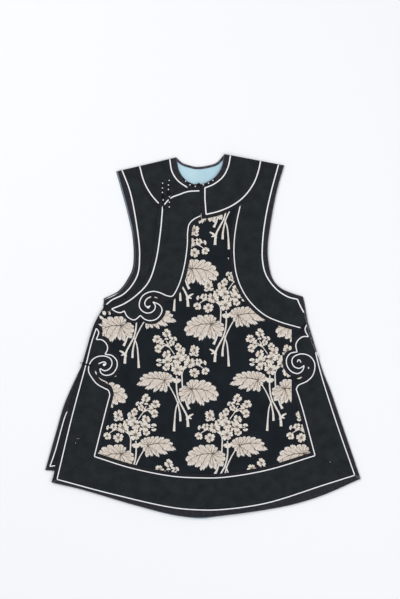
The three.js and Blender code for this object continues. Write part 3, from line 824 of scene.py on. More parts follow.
class Draft:
    """Every line of the jacket, drawn through its knots."""

    def __init__(self) -> None:
        """Draws the lines that more than one piece shares."""
        neck, collar, armhole = NeckDraft(), CollarDraft(), ArmholeDraft()
        overlap, hem, under = OverlapDraft(), HemDraft(), UnderDraft()
        self.neck, self.collar, self.armhole = neck, collar, armhole
        self.overlap, self.under = overlap, under
        self.neck_back = seam(*neck.back)
        self.neck_left = seam(*neck.left)
        self.neck_right = seam(*neck.right)
        self.neck_piping_left = seam(*neck.piping_left)
        self.neck_piping_right = seam(*neck.piping_right)
        self.collar_centre = np.array(collar.centre, float)
        self.collar_right = seam(*collar.right)
        self.collar_left = seam(*collar.left)
        self.collar_edging = aside(self.collar_right, -EDGING)
        self.centre_edging = np.array(collar.edging_centre, float)
        self.armhole_left = seam(*armhole.left)
        self.armhole_right = seam(*armhole.right)
        self.armhole_piping_left = seam(*armhole.piping_left)
        self.armhole_piping_right = join(seam(*armhole.piping_right), seam(*armhole.piping_down))
        self.armhole_inner = seam(*armhole.inner)
        self.overlap_top_edge = seam(*overlap.top_edge)
        self.overlap_edge = seam(*overlap.edge)
        self.overlap_top = seam(*overlap.top)
        self.overlap_outer = seam(*overlap.outer)
        self.overlap_inner = seam(*overlap.inner)
        self.overlap_scallops = join(*(seam(*part) for part in overlap.scallops))
        self.overlap_edging = seam(*overlap.edging)
        self.overlap_curl = seam(*overlap.curl)
        self.left, self.right = (SideLines(side) for side in (LEFT_SIDE, RIGHT_SIDE))
        self.hem_edge = seam(*hem.edge)
        self.hem_outer = seam(*hem.outer)
        self.hem_inner = seam(*hem.inner)
        self.under_hidden = seam(*under.hidden)
        self.under_slit = seam(*under.slit)
        self.under_piping = seam(*under.piping)

    def back(self) -> Line:
        """The back's outline."""
        draft = BackDraft()
        return join(
            self.neck_back[::-1],
            aside(self.armhole_left, -draft.armhole_left_inset),
            seam(*draft.side_left),
            seam(*draft.hem),
            seam(*draft.side_right)[::-1],
            aside(self.armhole_right, -draft.armhole_right_inset)[::-1],
        )

    def neck_rim(self, width: float) -> Line:
        """The outline of a strip below the back neck."""
        return join(self.neck_back, aside(self.neck_back, -width)[::-1])

    def under_front(self) -> Line:
        """The under-front's outline."""
        return join(
            self.neck_left[::-1], self.armhole_left, self.under.armhole_corner,
            self.under_hidden, self.under_slit, self.under.hem, self.under.inner,
        )

    def front(self) -> Line:
        """The outline of the front that crosses over."""
        return join(
            self.neck_right, self.armhole_right, self.right.edge, self.right.slit,
            self.hem_edge[::-1], self.left.slit[::-1], self.left.edge[::-1],
            self.overlap_edge[::-1], self.overlap_top_edge[::-1],
        )

    def under_pieces(self) -> dict[str, Line]:
        """The outlines of what is laid on the under-front."""
        under = self.under
        edging = aside(self.collar_left, -EDGING)
        slit = self.under_slit[self.under_slit[:, 1] < under.side_top_y]
        return {
            "under_collar_edging": join(self.collar_left, under.collar_corner, edging[::-1]),
            "under_collar_band": join(
                self.neck_piping_left, under.collar_front, self.collar_left[::-1]
            ),
            "under_neck_binding": join(
                self.neck_left, under.collar_front[:1], self.neck_piping_left[::-1]
            ),
            "under_armhole_binding": join(
                self.armhole_piping_left, under.armhole_binding_corner, self.armhole_left[::-1]
            ),
            "under_armhole_band": join(
                edging, under.armhole_band_corner, aside(self.overlap_edge, LAP),
                self.armhole_piping_left[::-1],
            ),
            "under_side_binding": join(
                slit[::-1], under.side_binding_top, self.under_piping, under.trim_end,
                under.side_binding_foot,
            ),
            "under_side_band": join(self.under_piping, under.trim_end, under.side_band_back),
        }

    def front_pieces(self) -> dict[str, Line]:
        """The outlines of the bands, edgings and bindings on the front, narrow strips first."""
        lap, left, right = self.neck, self.left, self.right
        step, foot = ((lap.lap_x, lap.lap_neck_y),), ((lap.lap_x, lap.lap_band_y),)
        neck = self.neck_right[self.neck_right[:, 0] > lap.lap_x + lap.lap_over]
        hem_edging = aside(self.hem_inner, EDGING)[1:-1]
        turn = self.collar_edging[self.collar_edging[:, 0] > self.collar.band_from]
        return {
            "neck_binding": join(step, neck, self.neck_piping_right),
            "overlap_binding": join(
                self.overlap_top_edge, self.overlap_edge, self.overlap_outer[::-1],
                self.overlap_top[::-1], foot, step,
            ),
            "armhole_binding": join(
                self.armhole_piping_right, self.armhole.side_end[1:], self.armhole_right[::-1]
            ),
            "left_side_binding": join(left.trim, left.piping, left.slit[::-1], left.edge[::-1]),
            "right_side_binding": join(
                right.trim, right.piping, right.slit[::-1], self.armhole.side_end
            ),
            "hem_binding": join(self.hem_edge, self.hem_outer[::-1]),
            "collar_edging": join(
                self.centre_edging, self.collar_edging, self.collar_right[::-1],
                self.collar_centre[::-1],
            ),
            "overlap_edging": join(
                self.overlap_inner, self.overlap_scallops[::-1], self.overlap_edging[::-1]
            ),
            "left_side_edging": join(
                left.edging, left.mitre[1:2], left.inner[::-1], left.scroll[::-1]
            ),
            "right_side_edging": join(
                right.edging, right.mitre[1:2], right.inner[::-1], right.scroll[::-1]
            ),
            "hem_edging": join(
                left.mitre[1:2], self.hem_inner, right.mitre[1:], hem_edging[::-1],
                left.mitre[2:],
            ),
            "collar_band": join(self.neck_piping_right, self.collar_centre, self.collar_right),
            "armhole_edging": join(aside(self.armhole_inner, -EDGING), self.armhole_inner[::-1]),
            "overlap_band": join(
                foot, self.overlap_top, self.overlap_outer, self.overlap_scallops,
                self.overlap_inner[::-1],
            ),
            "left_side_band": join(left.scroll, left.inner, left.mitre[:1], left.piping[::-1]),
            "right_side_band": join(
                right.scroll, right.inner, right.piping[::-1],
                right.trim[right.trim[:, 1] < self.armhole.band_foot_y][::-1],
            ),
            "armhole_band": join(
                turn[::-1], self.armhole_inner, self.armhole.band_foot,
                self.armhole_piping_right[::-1],
            ),
            "hem_band": join(self.hem_outer, self.hem_inner[::-1]),
        }

    def under_pipings(self) -> dict[str, Line]:
        """The pipings of the under-front."""
        return {
            "under_neck_piping": self.neck_piping_left,
            "under_collar_piping": self.collar_left,
            "under_armhole_piping": self.armhole_piping_left,
            "under_side_piping": join_open(self.under_piping, self.under.trim_end),
        }

    def front_pipings(self) -> dict[str, Line]:
        """The pipings and scroll curls of the front."""
        left, right = self.left, self.right
        return {
            "collar_piping": join_open(
                self.neck_piping_right, self.collar_centre, self.collar_right
            ),
            "overlap_outer_piping": join_open(
                self.overlap_top, self.overlap.corner, self.overlap_outer
            ),
            "overlap_scallop_piping": self.overlap_scallops,
            "overlap_inner_piping": self.overlap_inner,
            "armhole_piping": self.armhole_piping_right,
            "armhole_inner_piping": self.armhole_inner,
            "left_side_piping": left.piping,
            "left_scroll_piping": left.scroll,
            "left_inner_piping": left.inner,
            "right_side_piping": right.piping,
            "right_scroll_piping": right.scroll,
            "right_inner_piping": right.inner,
            "hem_outer_piping": self.hem_outer,
            "hem_inner_piping": self.hem_inner,
            "overlap_scroll_curl": self.overlap_curl,
            "left_scroll_curl": left.curl,
            "right_scroll_curl": right.curl,
        }


class SideLines:
    """One side's lines, drawn through their knots."""

    def __init__(self, side: SideDraft) -> None:
        """Draws the lines.

        Args:
            side: The knots of the side's lines.
        """
        self.edge, self.slit = seam(*side.edge), seam(*side.slit)
        self.trim, self.piping = seam(*side.trim), seam(*side.piping)
        self.scroll = join_open(*(seam(*part) for part in side.scroll))
        self.inner = join_open(*(seam(*part) for part in side.inner))
        self.edging = join_open(*(seam(*part) for part in side.edging))
        self.mitre = np.array(side.mitre, float)
        self.curl = seam(*side.curl)


# ---- Finishes ----


def srgb(red: int, green: int, blue: int) -> Rgb:
    """A colour from 8-bit values as the linear one that shaders take."""
    parts = (c / 255 for c in (red, green, blue))
    return tuple(c / 12.92 if c <= 0.04045 else ((c + 0.055) / 1.055) ** 2.4 for c in parts)


class Weave(Enum):
    """How the threads of a finish lie."""

    SATIN = "long floats along the cloth"
    PLAIN = "threads over and under"
    TWILL = "slanting ribs"
    HERRINGBONE = "slanting ribs that turn back at the middle"
    TWIST = "strands laid round a cord"
    FLOSS = "side by side stitches of loose silk"


class Recipe:
    """The shader nodes of one material."""

    def __init__(self, name: str) -> None:
        """Starts an empty material.

        Args:
            name: The material's name.
        """
        self.material = bpy.data.materials.new(name)
        self.material.use_nodes = True
        self.tree = self.material.node_tree
        self.tree.nodes.clear()

    def node(self, kind: str, sockets: dict | None = None, **settings: object) -> bpy.types.Node:
        """Adds a shader node.

        Args:
            kind: The node's type, without its ShaderNode prefix.
            sockets: Values or other nodes' sockets, by the input's name or number.
            **settings: The node's own properties.

        Returns:
            The node.
        """
        made = self.tree.nodes.new("ShaderNode" + kind)
        for name, value in settings.items():
            setattr(made, name, value)
        for name, value in (sockets or {}).items():
            if isinstance(value, bpy.types.NodeSocket):
                self.tree.links.new(value, made.inputs[name])
            else:
                made.inputs[name].default_value = value
        return made

    def math(
        self, operation: str, a: object, b: object = 0.0, c: object = 0.0
    ) -> bpy.types.NodeSocket:
        """One step of arithmetic on sockets or numbers."""
        return self.node("Math", {0: a, 1: b, 2: c}, operation=operation).outputs[0]

    def wave(self, place: object, pitch: float) -> bpy.types.NodeSocket:
        """Ribs from 0 to 1 at a pitch along a coordinate."""
        turn = self.math("MULTIPLY", place, 2 * math.pi / pitch)
        return self.math("MULTIPLY_ADD", self.math("SINE", turn), 0.5, 0.5)

    def noise(self, vector: object, size: float, detail: float = 2.0) -> bpy.types.NodeSocket:
        """Cloudy variation from 0 to 1, with clouds of about the given size."""
        sockets = {"Vector": vector, "Scale": 1 / size, "Detail": detail, "Roughness": 0.55}
        return self.node("TexNoise", sockets).outputs["Fac"]

    def mixed(self, share: object, a: object, b: object) -> bpy.types.NodeSocket:
        """Two colours mixed, all of the second where the share is 1."""
        sockets = {"Factor": share, 6: self.colour(a), 7: self.colour(b)}
        return self.node("Mix", sockets, data_type="RGBA").outputs[2]

    @staticmethod
    def colour(value: object) -> object:
        """A colour with its alpha, or a socket as it is."""
        return (*value, 1.0) if isinstance(value, tuple) else value

    def eased(self, value: object, low: float, high: float) -> bpy.types.NodeSocket:
        """A smooth step from 0 at low to 1 at high."""
        sockets = {"Value": value, "From Min": low, "From Max": high}
        return self.node("MapRange", sockets, interpolation_type="SMOOTHSTEP").outputs[0]

    def finish(
        self, colour: object, shine: "Shine", height: object, depth: float
    ) -> bpy.types.Material:
        """Ends the material with its surface.

        Args:
            colour: The base colour's socket.
            shine: The numbers of its gloss.
            height: The relief's socket, from 0 to 1.
            depth: The relief's depth in millimetres.

        Returns:
            The material.
        """
        bump = self.node("Bump", {"Height": height, "Distance": depth * MM, "Strength": 1.0})
        surface = self.node("BsdfPrincipled", {
            "Base Color": self.colour(colour),
            "Roughness": shine.roughness,
            "Specular IOR Level": shine.specular,
            "Sheen Weight": shine.sheen,
            "Sheen Roughness": shine.sheen_roughness,
            "Sheen Tint": (*shine.sheen_tint, 1.0),
            "Normal": bump.outputs[0],
        })
        self.node("OutputMaterial", {"Surface": surface.outputs[0]})
        return self.material


@dataclass(frozen=True)
class Shine:
    """How a finish takes the light."""

    roughness: float
    specular: float
    sheen: float = 0.0
    sheen_roughness: float = 0.4
    sheen_tint: Rgb = (1.0, 1.0, 1.0)


@dataclass(frozen=True)
class Unevenness:
    """How far a silk's clouds, its grain and its threads lead from its dark to its light."""

    clouds: float = 1.1
    grain: float = 0.35
    threads: float = 0.3
    darkest: float = -0.47  # the share with none of the three
    grain_size: float = 1.7  # in pitches
    grain_height: float = 0.4  # as a share of the threads' height


@dataclass(frozen=True)
class Cloth:
    """A woven, twisted or stitched silk."""

    name: str
    dark: Rgb
    light: Rgb
    shine: Shine
    weave: Weave
    pitch: float  # between threads, in millimetres
    depth: float  # of the relief, in millimetres
    cloud: float = 34.0  # size of its uneven patches
    turned: Rgb | None = None  # painted highlight along the rolled edge, where a finish has one
    highlight_width: float = 2.0
    highlight_fade: tuple[float, float] = (0.5, 1.3)  # shares of that width
    tints: tuple[Rgb, ...] = ()  # shades that a piece's tint picks from
    ribs: float = 2.2  # pitches between the turns of a herringbone
    floats: float = 9.0  # pitches along a satin's float
    uneven: Unevenness = Unevenness()

    def threads(self, recipe: Recipe, along: object, across: object) -> bpy.types.NodeSocket:
        """The height of the threads, from 0 to 1."""
        if self.weave is Weave.PLAIN:
            return recipe.math(
                "MULTIPLY", recipe.wave(along, self.pitch), recipe.wave(across, self.pitch)
            )
        if self.weave in (Weave.TWILL, Weave.TWIST):
            return recipe.wave(recipe.math("ADD", along, across), self.pitch)
        if self.weave is Weave.HERRINGBONE:
            fold = recipe.math("PINGPONG", across, self.pitch * self.ribs)
            return recipe.wave(recipe.math("ADD", along, fold), self.pitch)
        if self.weave is Weave.FLOSS:
            return recipe.wave(across, self.pitch)
        fine = recipe.node("CombineXYZ", {
            0: recipe.math("DIVIDE", along, self.pitch * self.floats),
            1: recipe.math("DIVIDE", across, self.pitch),
        })
        return recipe.noise(fine.outputs[0], 1.0, 1.0)

    def material(self) -> bpy.types.Material:
        """Makes the shader.

        Returns:
            The material.
        """
        recipe = Recipe(self.name)
        lay = recipe.node("Attribute", attribute_name="lay").outputs["Vector"]
        parts = recipe.node("SeparateXYZ", {0: lay}).outputs
        threads = self.threads(recipe, parts[0], parts[1])
        flat = recipe.node("CombineXYZ", {0: parts[0], 1: parts[1]}).outputs[0]
        clouds = recipe.noise(flat, self.cloud, 4.0)
        grain = recipe.noise(flat, self.pitch * self.uneven.grain_size)
        share = recipe.math("MULTIPLY_ADD", clouds, self.uneven.clouds, self.uneven.darkest)
        share = recipe.math("MULTIPLY_ADD", grain, self.uneven.grain, share)
        share = recipe.math("MULTIPLY_ADD", threads, self.uneven.threads, share)
        share = recipe.node("Clamp", {0: share}).outputs[0]
        colour = recipe.mixed(share, self.dark, self.light)
        if self.tints:
            tint = recipe.node("Attribute", attribute_name="tint").outputs["Fac"]
            ramp = recipe.node("ValToRGB", {"Fac": tint})
            stops = ramp.color_ramp.elements
            for i, shade in enumerate(self.tints):
                place = i / (len(self.tints) - 1)
                stop = stops[i] if i < len(stops) else stops.new(place)
                stop.position, stop.color = place, (*shade, 1.0)
            colour = recipe.node(
                "Mix", {"Factor": 1.0, 6: colour, 7: ramp.outputs[0]},
                data_type="RGBA", blend_type="MULTIPLY",
            ).outputs[2]
        # A turned colour is a painted highlight, lighter along the rolled edge where it would catch
        # the light.
        if self.turned:
            low, high = (self.highlight_width * share for share in self.highlight_fade)
            colour = recipe.mixed(recipe.eased(parts[2], low, high), self.turned, colour)
        height = recipe.math("MULTIPLY_ADD", grain, self.uneven.grain_height, threads)
        return recipe.finish(colour, self.shine, height, self.depth)


SATIN = Cloth(
    "teal_grey_satin", srgb(7, 11, 12), srgb(36, 43, 46),
    Shine(0.6, 0.14, 0.04, 0.5, srgb(150, 170, 180)), Weave.SATIN, 0.35, 0.03, cloud=26.0,
)
GROUND = Cloth(
    "blue_black_brocade_ground", srgb(13, 17, 22), srgb(30, 37, 43),
    Shine(0.66, 0.08, 0.01, 0.5, srgb(120, 130, 160)), Weave.TWILL, 0.5, 0.02, cloud=40.0,
)
EDGING_CLOTH = Cloth(
    "grey_woven_edging", srgb(18, 19, 22), srgb(42, 43, 47),
    Shine(0.7, 0.1, 0.04, 0.5, srgb(170, 170, 180)), Weave.HERRINGBONE, 2.4, 0.08, cloud=9.0,
)
# The binding's turned colour is a painted highlight, a pale lavender line along its rolled outer
# edge.
BINDING_CLOTH = Cloth(
    "grey_woven_binding", srgb(23, 24, 28), srgb(55, 55, 61),
    Shine(0.7, 0.1, 0.04, 0.5, srgb(170, 170, 180)), Weave.HERRINGBONE, 2.4, 0.08, cloud=9.0,
    turned=srgb(92, 92, 101), highlight_width=1.4,
)
# The lining's second tint is painted shade, the grey where it shows past the fronts.
LINING = Cloth(
    "pale_blue_lining", srgb(158, 192, 204), srgb(196, 222, 230),
    Shine(0.55, 0.2, 0.05, 0.4), Weave.PLAIN, 0.45, 0.02, cloud=60.0,
    tints=(srgb(255, 255, 255), srgb(84, 76, 84)),
)
PIPING = Cloth(
    "cream_corded_piping", srgb(231, 230, 229), srgb(255, 255, 255),
    Shine(0.6, 0.25, 0.08, 0.4), Weave.TWIST, 1.1, 0.1, cloud=14.0,
)
PETAL_SILK = Cloth(
    "cream_petal_silk", srgb(182, 173, 162), srgb(255, 252, 246),
    Shine(0.5, 0.3, 0.08, 0.35), Weave.FLOSS, 0.55, 0.06, cloud=4.6,
    tints=(srgb(232, 224, 216), srgb(246, 239, 234), srgb(255, 255, 255), srgb(252, 248, 238)),
)
VEIN_SILK = Cloth(
    "brown_vein_silk", srgb(72, 59, 50), srgb(118, 101, 89),
    Shine(0.6, 0.2), Weave.FLOSS, 0.5, 0.03, cloud=5.0,
)
SHADOW_SILK = Cloth(
    "dark_outline_silk", srgb(10, 13, 19), srgb(22, 26, 34),
    Shine(0.7, 0.08), Weave.FLOSS, 0.5, 0.02, cloud=6.0,
)
CORD = Cloth(
    "black_silk_cord", srgb(6, 7, 9), srgb(18, 20, 24),
    Shine(0.6, 0.2, 0.03), Weave.TWIST, 0.9, 0.12, cloud=6.0,
)
JOIN_THREAD = Cloth(
    "dark_join", srgb(8, 8, 14), srgb(20, 16, 26),
    Shine(0.8, 0.05), Weave.TWIST, 0.3, 0.01, cloud=4.0,
)
PEARL = Cloth(
    "white_bead_silk", srgb(205, 205, 212), srgb(240, 240, 244),
    Shine(0.4, 0.4), Weave.TWIST, 0.8, 0.05, cloud=3.0,
)
THREAD = Cloth(
    "dark_sewing_thread", srgb(16, 16, 19), srgb(40, 40, 44),
    Shine(0.6, 0.2), Weave.TWIST, 0.3, 0.02, cloud=4.0,
)
POLLEN_SILK = Cloth(
    "pollen_silk", srgb(140, 122, 92), srgb(196, 178, 138),
    Shine(0.6, 0.2), Weave.FLOSS, 0.5, 0.03, cloud=3.0,
)
UNDER_SATIN = Cloth(
    "plain_back_satin", srgb(18, 22, 25), srgb(38, 44, 48),
    Shine(0.62, 0.14, 0.04, 0.5, srgb(150, 170, 180)), Weave.SATIN, 0.35, 0.03, cloud=40.0,
)


# ---- Laying the pieces ----

FINE_PIPINGS = ("scroll", "scallop", "inner", "hem_outer", "side")
CURL_ENDS = {  # where a scroll's curl ends in a round knob
    "overlap_scroll_curl": (-136.5, 70.5), "left_scroll_curl": (-246.5, -73.0),
}
CURL_END = 3.4
PIPING_STEP = 1.6
FINE_HALF, FULL_HALF = PIPING_WIDTH * 0.45, PIPING_WIDTH * 0.52  # half a piping's width
PIPING_HALF_HEIGHT = PIPING_HEIGHT * 0.85


class Tailor:
    """Cuts and lays the pieces over the relief of the cloth."""

    def __init__(self, draft: Draft, relief: Relief) -> None:
        """Prepares the draft's seams.

        Args:
            draft: The garment's lines.
            relief: The heights that the cloth follows.
        """
        self.draft, self.relief = draft, relief
        self.pipings = draft.front_pipings()
        self.under_pipings = draft.under_pipings()
        every = np.vstack([*self.pipings.values(), *self.under_pipings.values()])
        self.seams = tree_of(every)
        self.front = draft.front()
        self.made: dict[str, bpy.types.Material] = {}

    def finish(self, cloth: Cloth) -> bpy.types.Material:
        """The material of a finish, made once."""
        if cloth.name not in self.made:
            self.made[cloth.name] = cloth.material()
        return self.made[cloth.name]

    def height(self, points: np.ndarray, level: float, front: bool) -> np.ndarray:
        """Heights of a layer: its level above the table, or above the rise under the front."""
        z = level + self.relief.fine(points, self.seams, front)
        return z + self.relief.rise(points) if front else z

    def over(self, level: float, front: bool) -> Heights:
        """A layer's height as a function of the place."""
        return lambda points: self.height(points, level, front)

    def lay(self, mesh: Mesh, name: str, cloths: Sequence[Cloth], slot: str,
            nodes: Sequence[str] = ()) -> bpy.types.Object:
        """Makes an object of a mesh, in place of the solids that it stands for.

        Args:
            mesh: The mesh.
            name: The object's name.
            cloths: Its finishes.
            slot: Not used.
            nodes: The solids it stands for, if not the one of its own name.

        Returns:
            The object.
        """
        made = mesh.to_object(name + "_cloth", [self.finish(cloth) for cloth in cloths])
        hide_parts(*(nodes or [name]))
        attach(made, BODY)
        LOG.info("%s: %d triangles", name, len(mesh.faces))
        return made

    def bands(
        self, outlines: dict[str, Line], guides: dict[str, Line], front: bool
    ) -> list[bpy.types.Object]:
        """Lays bands, edgings and bindings.

        Args:
            outlines: Their outlines by name.
            guides: The lines that their threads follow, for those that have one.
            front: Whether they are on the front, and follow the rise there.

        Returns:
            The pieces.
        """
        cutting = Cutting(outlines, LAYERS.band_grain)
        made = []
        for name in cutting.names:
            cloth, slot = FINISH_OF.get(name) or FINISH_OF[name.rsplit("_", 1)[1]]
            over = self.over(LAYERS.band, front)
            shell = cutting.piece(name, over, BAND_DEPTH, guides.get(name))
            made.append(self.lay(shell, name, [cloth], slot))
        return made

    def pipe(self, name: str, line: Line, front: bool) -> bpy.types.Object:
        """Lays a cream cord along a seam.

        Args:
            name: The piping's name.
            line: The seam.
            front: Whether it is on the front, and follows the rise there.

        Returns:
            The piping.
        """
        line = spaced(line, PIPING_STEP)
        z = self.height(line, LAYERS.piping, front)
        fine = any(word in name for word in FINE_PIPINGS)
        cord = tube(line, z, FINE_HALF if fine else FULL_HALF, PIPING_HALF_HEIGHT, sides=10)
        if name in CURL_ENDS:
            x, y = CURL_ENDS[name]
            end = self.height(np.array([[x, y]]), LAYERS.piping, front)[0]
            cord = Mesh.joined([cord, bead(x, y, end, CURL_END, PIPING_HALF_HEIGHT)])
        return self.lay(cord, name, [PIPING], "piping")


@dataclass(frozen=True)
class Layers:
    """The level of each layer's upper side, above the table or above the rise."""

    back: float = CLOTH
    lining: float = STEP + CLOTH
    panel: float = 2 * STEP + CLOTH
    band: float = 3 * STEP + CLOTH
    piping: float = 3 * STEP + CLOTH + 0.8  # the middle of the cord
    under_grain: float = 9.0
    panel_grain: float = 5.5
    band_grain: float = 4.0


LAYERS = Layers()


@dataclass(frozen=True)
class Back:
    """The back, its lining and the facing round the neck."""

    lining_inset: float = 1.0
    shade_from: float = 300.0  # the y below which the lining is painted grey as shade
    shade_fade: float = 60.0
    armhole_x: float = -100.0  # past it the lining is painted half in shade at the armhole too
    hem_y: float = -380.0
    unpainted_stretch: tuple[float, float] = (-42.0, 95.0)  # the middle and reach of the stretch there that is not painted darker
    slips: tuple[tuple[float, float, float], ...] = ((4.8, -100, 48), (1.2, 5, 55))

    def painted_shade(self, points: np.ndarray) -> np.ndarray:
        """How far the lining's blue is painted grey as shade, from 0 at the neck to 1 low at the
        sides.
        """
        # Painted shade: the lining greys where it shows past the fronts' edges at the armhole and
        # the hem, which lie in the fronts' shade.
        x, y = points.T
        low = np.clip((self.shade_from - y) / self.shade_fade, 0.5 * (x < self.armhole_x), 1)
        return low * (1 - mesa(x, *self.unpainted_stretch) * (y < self.hem_y))

    def slipped(self, outline: Line) -> Line:
        """The lining's outline where it has slipped down past the front's hem."""
        x, y = outline.T
        slip = sum(drop * mesa(x, middle, reach) for drop, middle, reach in self.slips)
        return np.column_stack([x, y - slip * (y < self.hem_y)])

    def make(self, tailor: Tailor) -> bpy.types.Object:
        """Lays the back.

        Args:
            tailor: What cuts and lays the pieces.

        Returns:
            The lining, which the fronts lie on.
        """
        outline = tailor.draft.back()
        cutting = Cutting({"back_panel": outline}, LAYERS.under_grain)
        flat = cutting.piece("back_panel", lambda p: np.full(len(p), LAYERS.back), CLOTH, roll=0)
        panel = tailor.lay(flat, "back_panel", [UNDER_SATIN], "satin")
        lined = self.slipped(aside(outline, self.lining_inset, closed=True))
        rim = tailor.draft.neck_rim(NECK_RIM)
        over = Cutting({"back_lining": lined}, LAYERS.under_grain)
        sheet = over.piece("back_lining", lambda p: np.full(len(p), LAYERS.lining), CLOTH)
        # The tint is painted shade, which greys the lining low down and at the armhole.
        sheet.tint = self.painted_shade(sheet.points[:, :2])
        lining = tailor.lay(sheet, "back_lining", [LINING], "lining")
        facing = Cutting({"rim": rim}, LAYERS.band_grain).piece(
            "rim", lambda p: np.full(len(p), LAYERS.panel), BAND_DEPTH, tailor.draft.neck_back
        )
        neck = tailor.lay(facing, "back_neck_binding", [BINDING_CLOTH], "edging")
        return lining


@dataclass(frozen=True)
class UnderFront:
    """The under-front with its bands, edging, bindings and pipings."""

    clear: float = 0.6  # a piping stops this far from the front's edge
    step: float = 1.0  # along a piping, where it is cut

    def make(self, tailor: Tailor, lining: bpy.types.Object) -> bpy.types.Object:
        """Lays the under-front.

        Args:
            tailor: What cuts and lays the pieces.
            lining: Not used.

        Returns:
            The panel.
        """
        draft = tailor.draft
        outline = draft.under_front()
        rim = draft.neck_rim(NECK_RIM + GAP)
        cutting = Cutting({"rim": rim, "under_front_panel": outline}, LAYERS.under_grain)
        whole = cutting.piece(
            "under_front_panel", lambda p: np.full(len(p), LAYERS.panel), PANEL_DEPTH
        )
        panel = tailor.lay(whole, "under_front_panel", [UNDER_SATIN], "satin")
        guides = {
            "under_collar_edging": draft.collar_left,
            "under_neck_binding": draft.neck_left,
            "under_armhole_binding": draft.armhole_left,
            "under_side_binding": draft.under_slit,
        }
        sewn = tailor.bands(draft.under_pieces(), guides, False)
        held = aside(tailor.front, self.clear, closed=True)
        for name, line in tailor.under_pipings.items():
            line = spaced(line, self.step)
            shown = line[~inside(line, tailor.front) & ~inside(line, held)]
            sewn.append(tailor.pipe(name, shown, False))
        return panel


@dataclass(frozen=True)
class Front:
    """The front that crosses over, with its bands, edgings, bindings and pipings."""

    def make(self, tailor: Tailor, below: Sequence[bpy.types.Object]) -> bpy.types.Object:
        """Lays the front.

        Args:
            tailor: What cuts and lays the pieces.
            below: Not used.

        Returns:
            The brocade panel.
        """
        draft = tailor.draft
        cutting = Cutting({"front_panel": tailor.front}, LAYERS.panel_grain)
        whole = cutting.piece("front_panel", tailor.over(LAYERS.panel, True), PANEL_DEPTH)
        panel = tailor.lay(whole, "front_panel", [GROUND], "brocade")
        guides = {
            "neck_binding": draft.neck_right,
            "overlap_binding": join_open(draft.overlap_top_edge, draft.overlap_edge),
            "armhole_binding": draft.armhole_right,
            "left_side_binding": join_open(draft.left.edge, draft.left.slit),
            "right_side_binding": join_open(draft.right.edge, draft.right.slit),
            "hem_binding": draft.hem_edge,
            "collar_edging": join_open(draft.collar_centre, draft.collar_right),
            "overlap_edging": draft.overlap_edging,
            "left_side_edging": draft.left.edging,
            "right_side_edging": draft.right.edging,
            "hem_edging": draft.hem_inner,
            "armhole_edging": draft.armhole_inner,
        }
        sewn = tailor.bands(draft.front_pieces(), guides, True)
        sewn += [tailor.pipe(name, line, True) for name, line in tailor.pipings.items()]
        sewn += [*Repeat().make(tailor), *Marks().make(tailor), Stitching().make(tailor)]
        return panel


FINISH_OF = {
    "overlap_binding": (SATIN, "satin"),
    "left_side_binding": (EDGING_CLOTH, "edging"),
    "band": (SATIN, "satin"),
    "edging": (EDGING_CLOTH, "edging"),
    "binding": (BINDING_CLOTH, "edging"),
}


# ---- Woven bouquets ----


def puffed(outline: Line, focus: Line, swell: float, rings: int = 4) -> Mesh:
    """A padded shape, lying at height 0 and highest at its middle.

    Args:
        outline: Its closed outline, in its own millimetres with x along its threads.
        focus: For each point of the outline, the point that its rings close in on.
        swell: Its height.
        rings: How many rings it has.

    Returns:
        The shape, open beneath.
    """
    if np.sum(outline[:, 0] * np.roll(outline[:, 1], -1)
              - np.roll(outline[:, 0], -1) * outline[:, 1]) < 0:
        outline, focus = outline[::-1], focus[::-1]
    count = len(outline)
    shares = np.cos(np.linspace(0, math.pi / 2, rings + 1))[:-1]
    levels = [focus + share * (outline - focus) for share in shares]
    heights = [np.full(count, swell * math.sqrt(1 - share**2)) for share in shares]
    points = np.vstack([*levels, focus])
    z = np.concatenate([*heights, np.full(count, swell)])
    ring = np.arange(count)
    after = (ring + 1) % count
    faces = []
    for step in range(rings):
        a, b = ring + step * count, after + step * count
        faces += [np.column_stack([a, b, b + count]), np.column_stack([a, b + count, a + count])]
    faces = np.vstack(faces)
    corners = points[faces]
    first, second = corners[:, 1] - corners[:, 0], corners[:, 2] - corners[:, 0]
    flat = np.abs(first[:, 0] * second[:, 1] - first[:, 1] * second[:, 0]) < ON_EDGE
    rim = np.concatenate([(1 - share) * np.ones(count) for share in (*shares, 0.0)])
    lay = np.column_stack([points, 3 * rim])
    return Mesh.of(np.column_stack([points, z]), faces[~flat], lay)


def strip(line: Line, widths: Sequence[float], swell: float) -> Mesh:
    """A padded band of stitches along a line, lying at height 0.

    Args:
        line: Rows of x, y along its middle.
        widths: Its width at even shares of its length.
        swell: Its height.

    Returns:
        The band, open beneath.
    """
    run = lengths(line)
    wide = np.interp(run / run[-1], np.linspace(0, 1, len(widths)), widths) / 2
    across = np.array([-1.0, -0.6, 0.0, 0.6, 1.0])
    points = line[:, None] + leftward(heading(line))[:, None] * (wide[:, None] * across)[:, :, None]
    z = np.tile(swell * np.sqrt(1 - across**2), len(line))
    row = len(across)
    lay = np.column_stack([
        np.repeat(run, row), (wide[:, None] * across).ravel(),
        (wide[:, None] * (1 - np.abs(across))).ravel(),
    ])
    a = (np.arange(len(line) - 1)[:, None] * row + np.arange(row - 1)).ravel()
    b = a + row
    faces = np.vstack([np.column_stack([a, b, b + 1]), np.column_stack([a, b + 1, a + 1])])
    return Mesh.of(np.column_stack([points.reshape(-1, 2), z]), faces[:, ::-1], lay)


def placed(mesh: Mesh, x: float, y: float, turn: float = 0.0, up: float = 0.0) -> Mesh:
    """A shape turned by degrees, moved to x, y and raised."""
    cos, sin = math.cos(math.radians(turn)), math.sin(math.radians(turn))
    px, py, pz = mesh.points.T
    points = np.column_stack([x + cos * px - sin * py, y + sin * px + cos * py, pz + up])
    return Mesh(points, mesh.faces, mesh.lay, mesh.tint, mesh.finish)


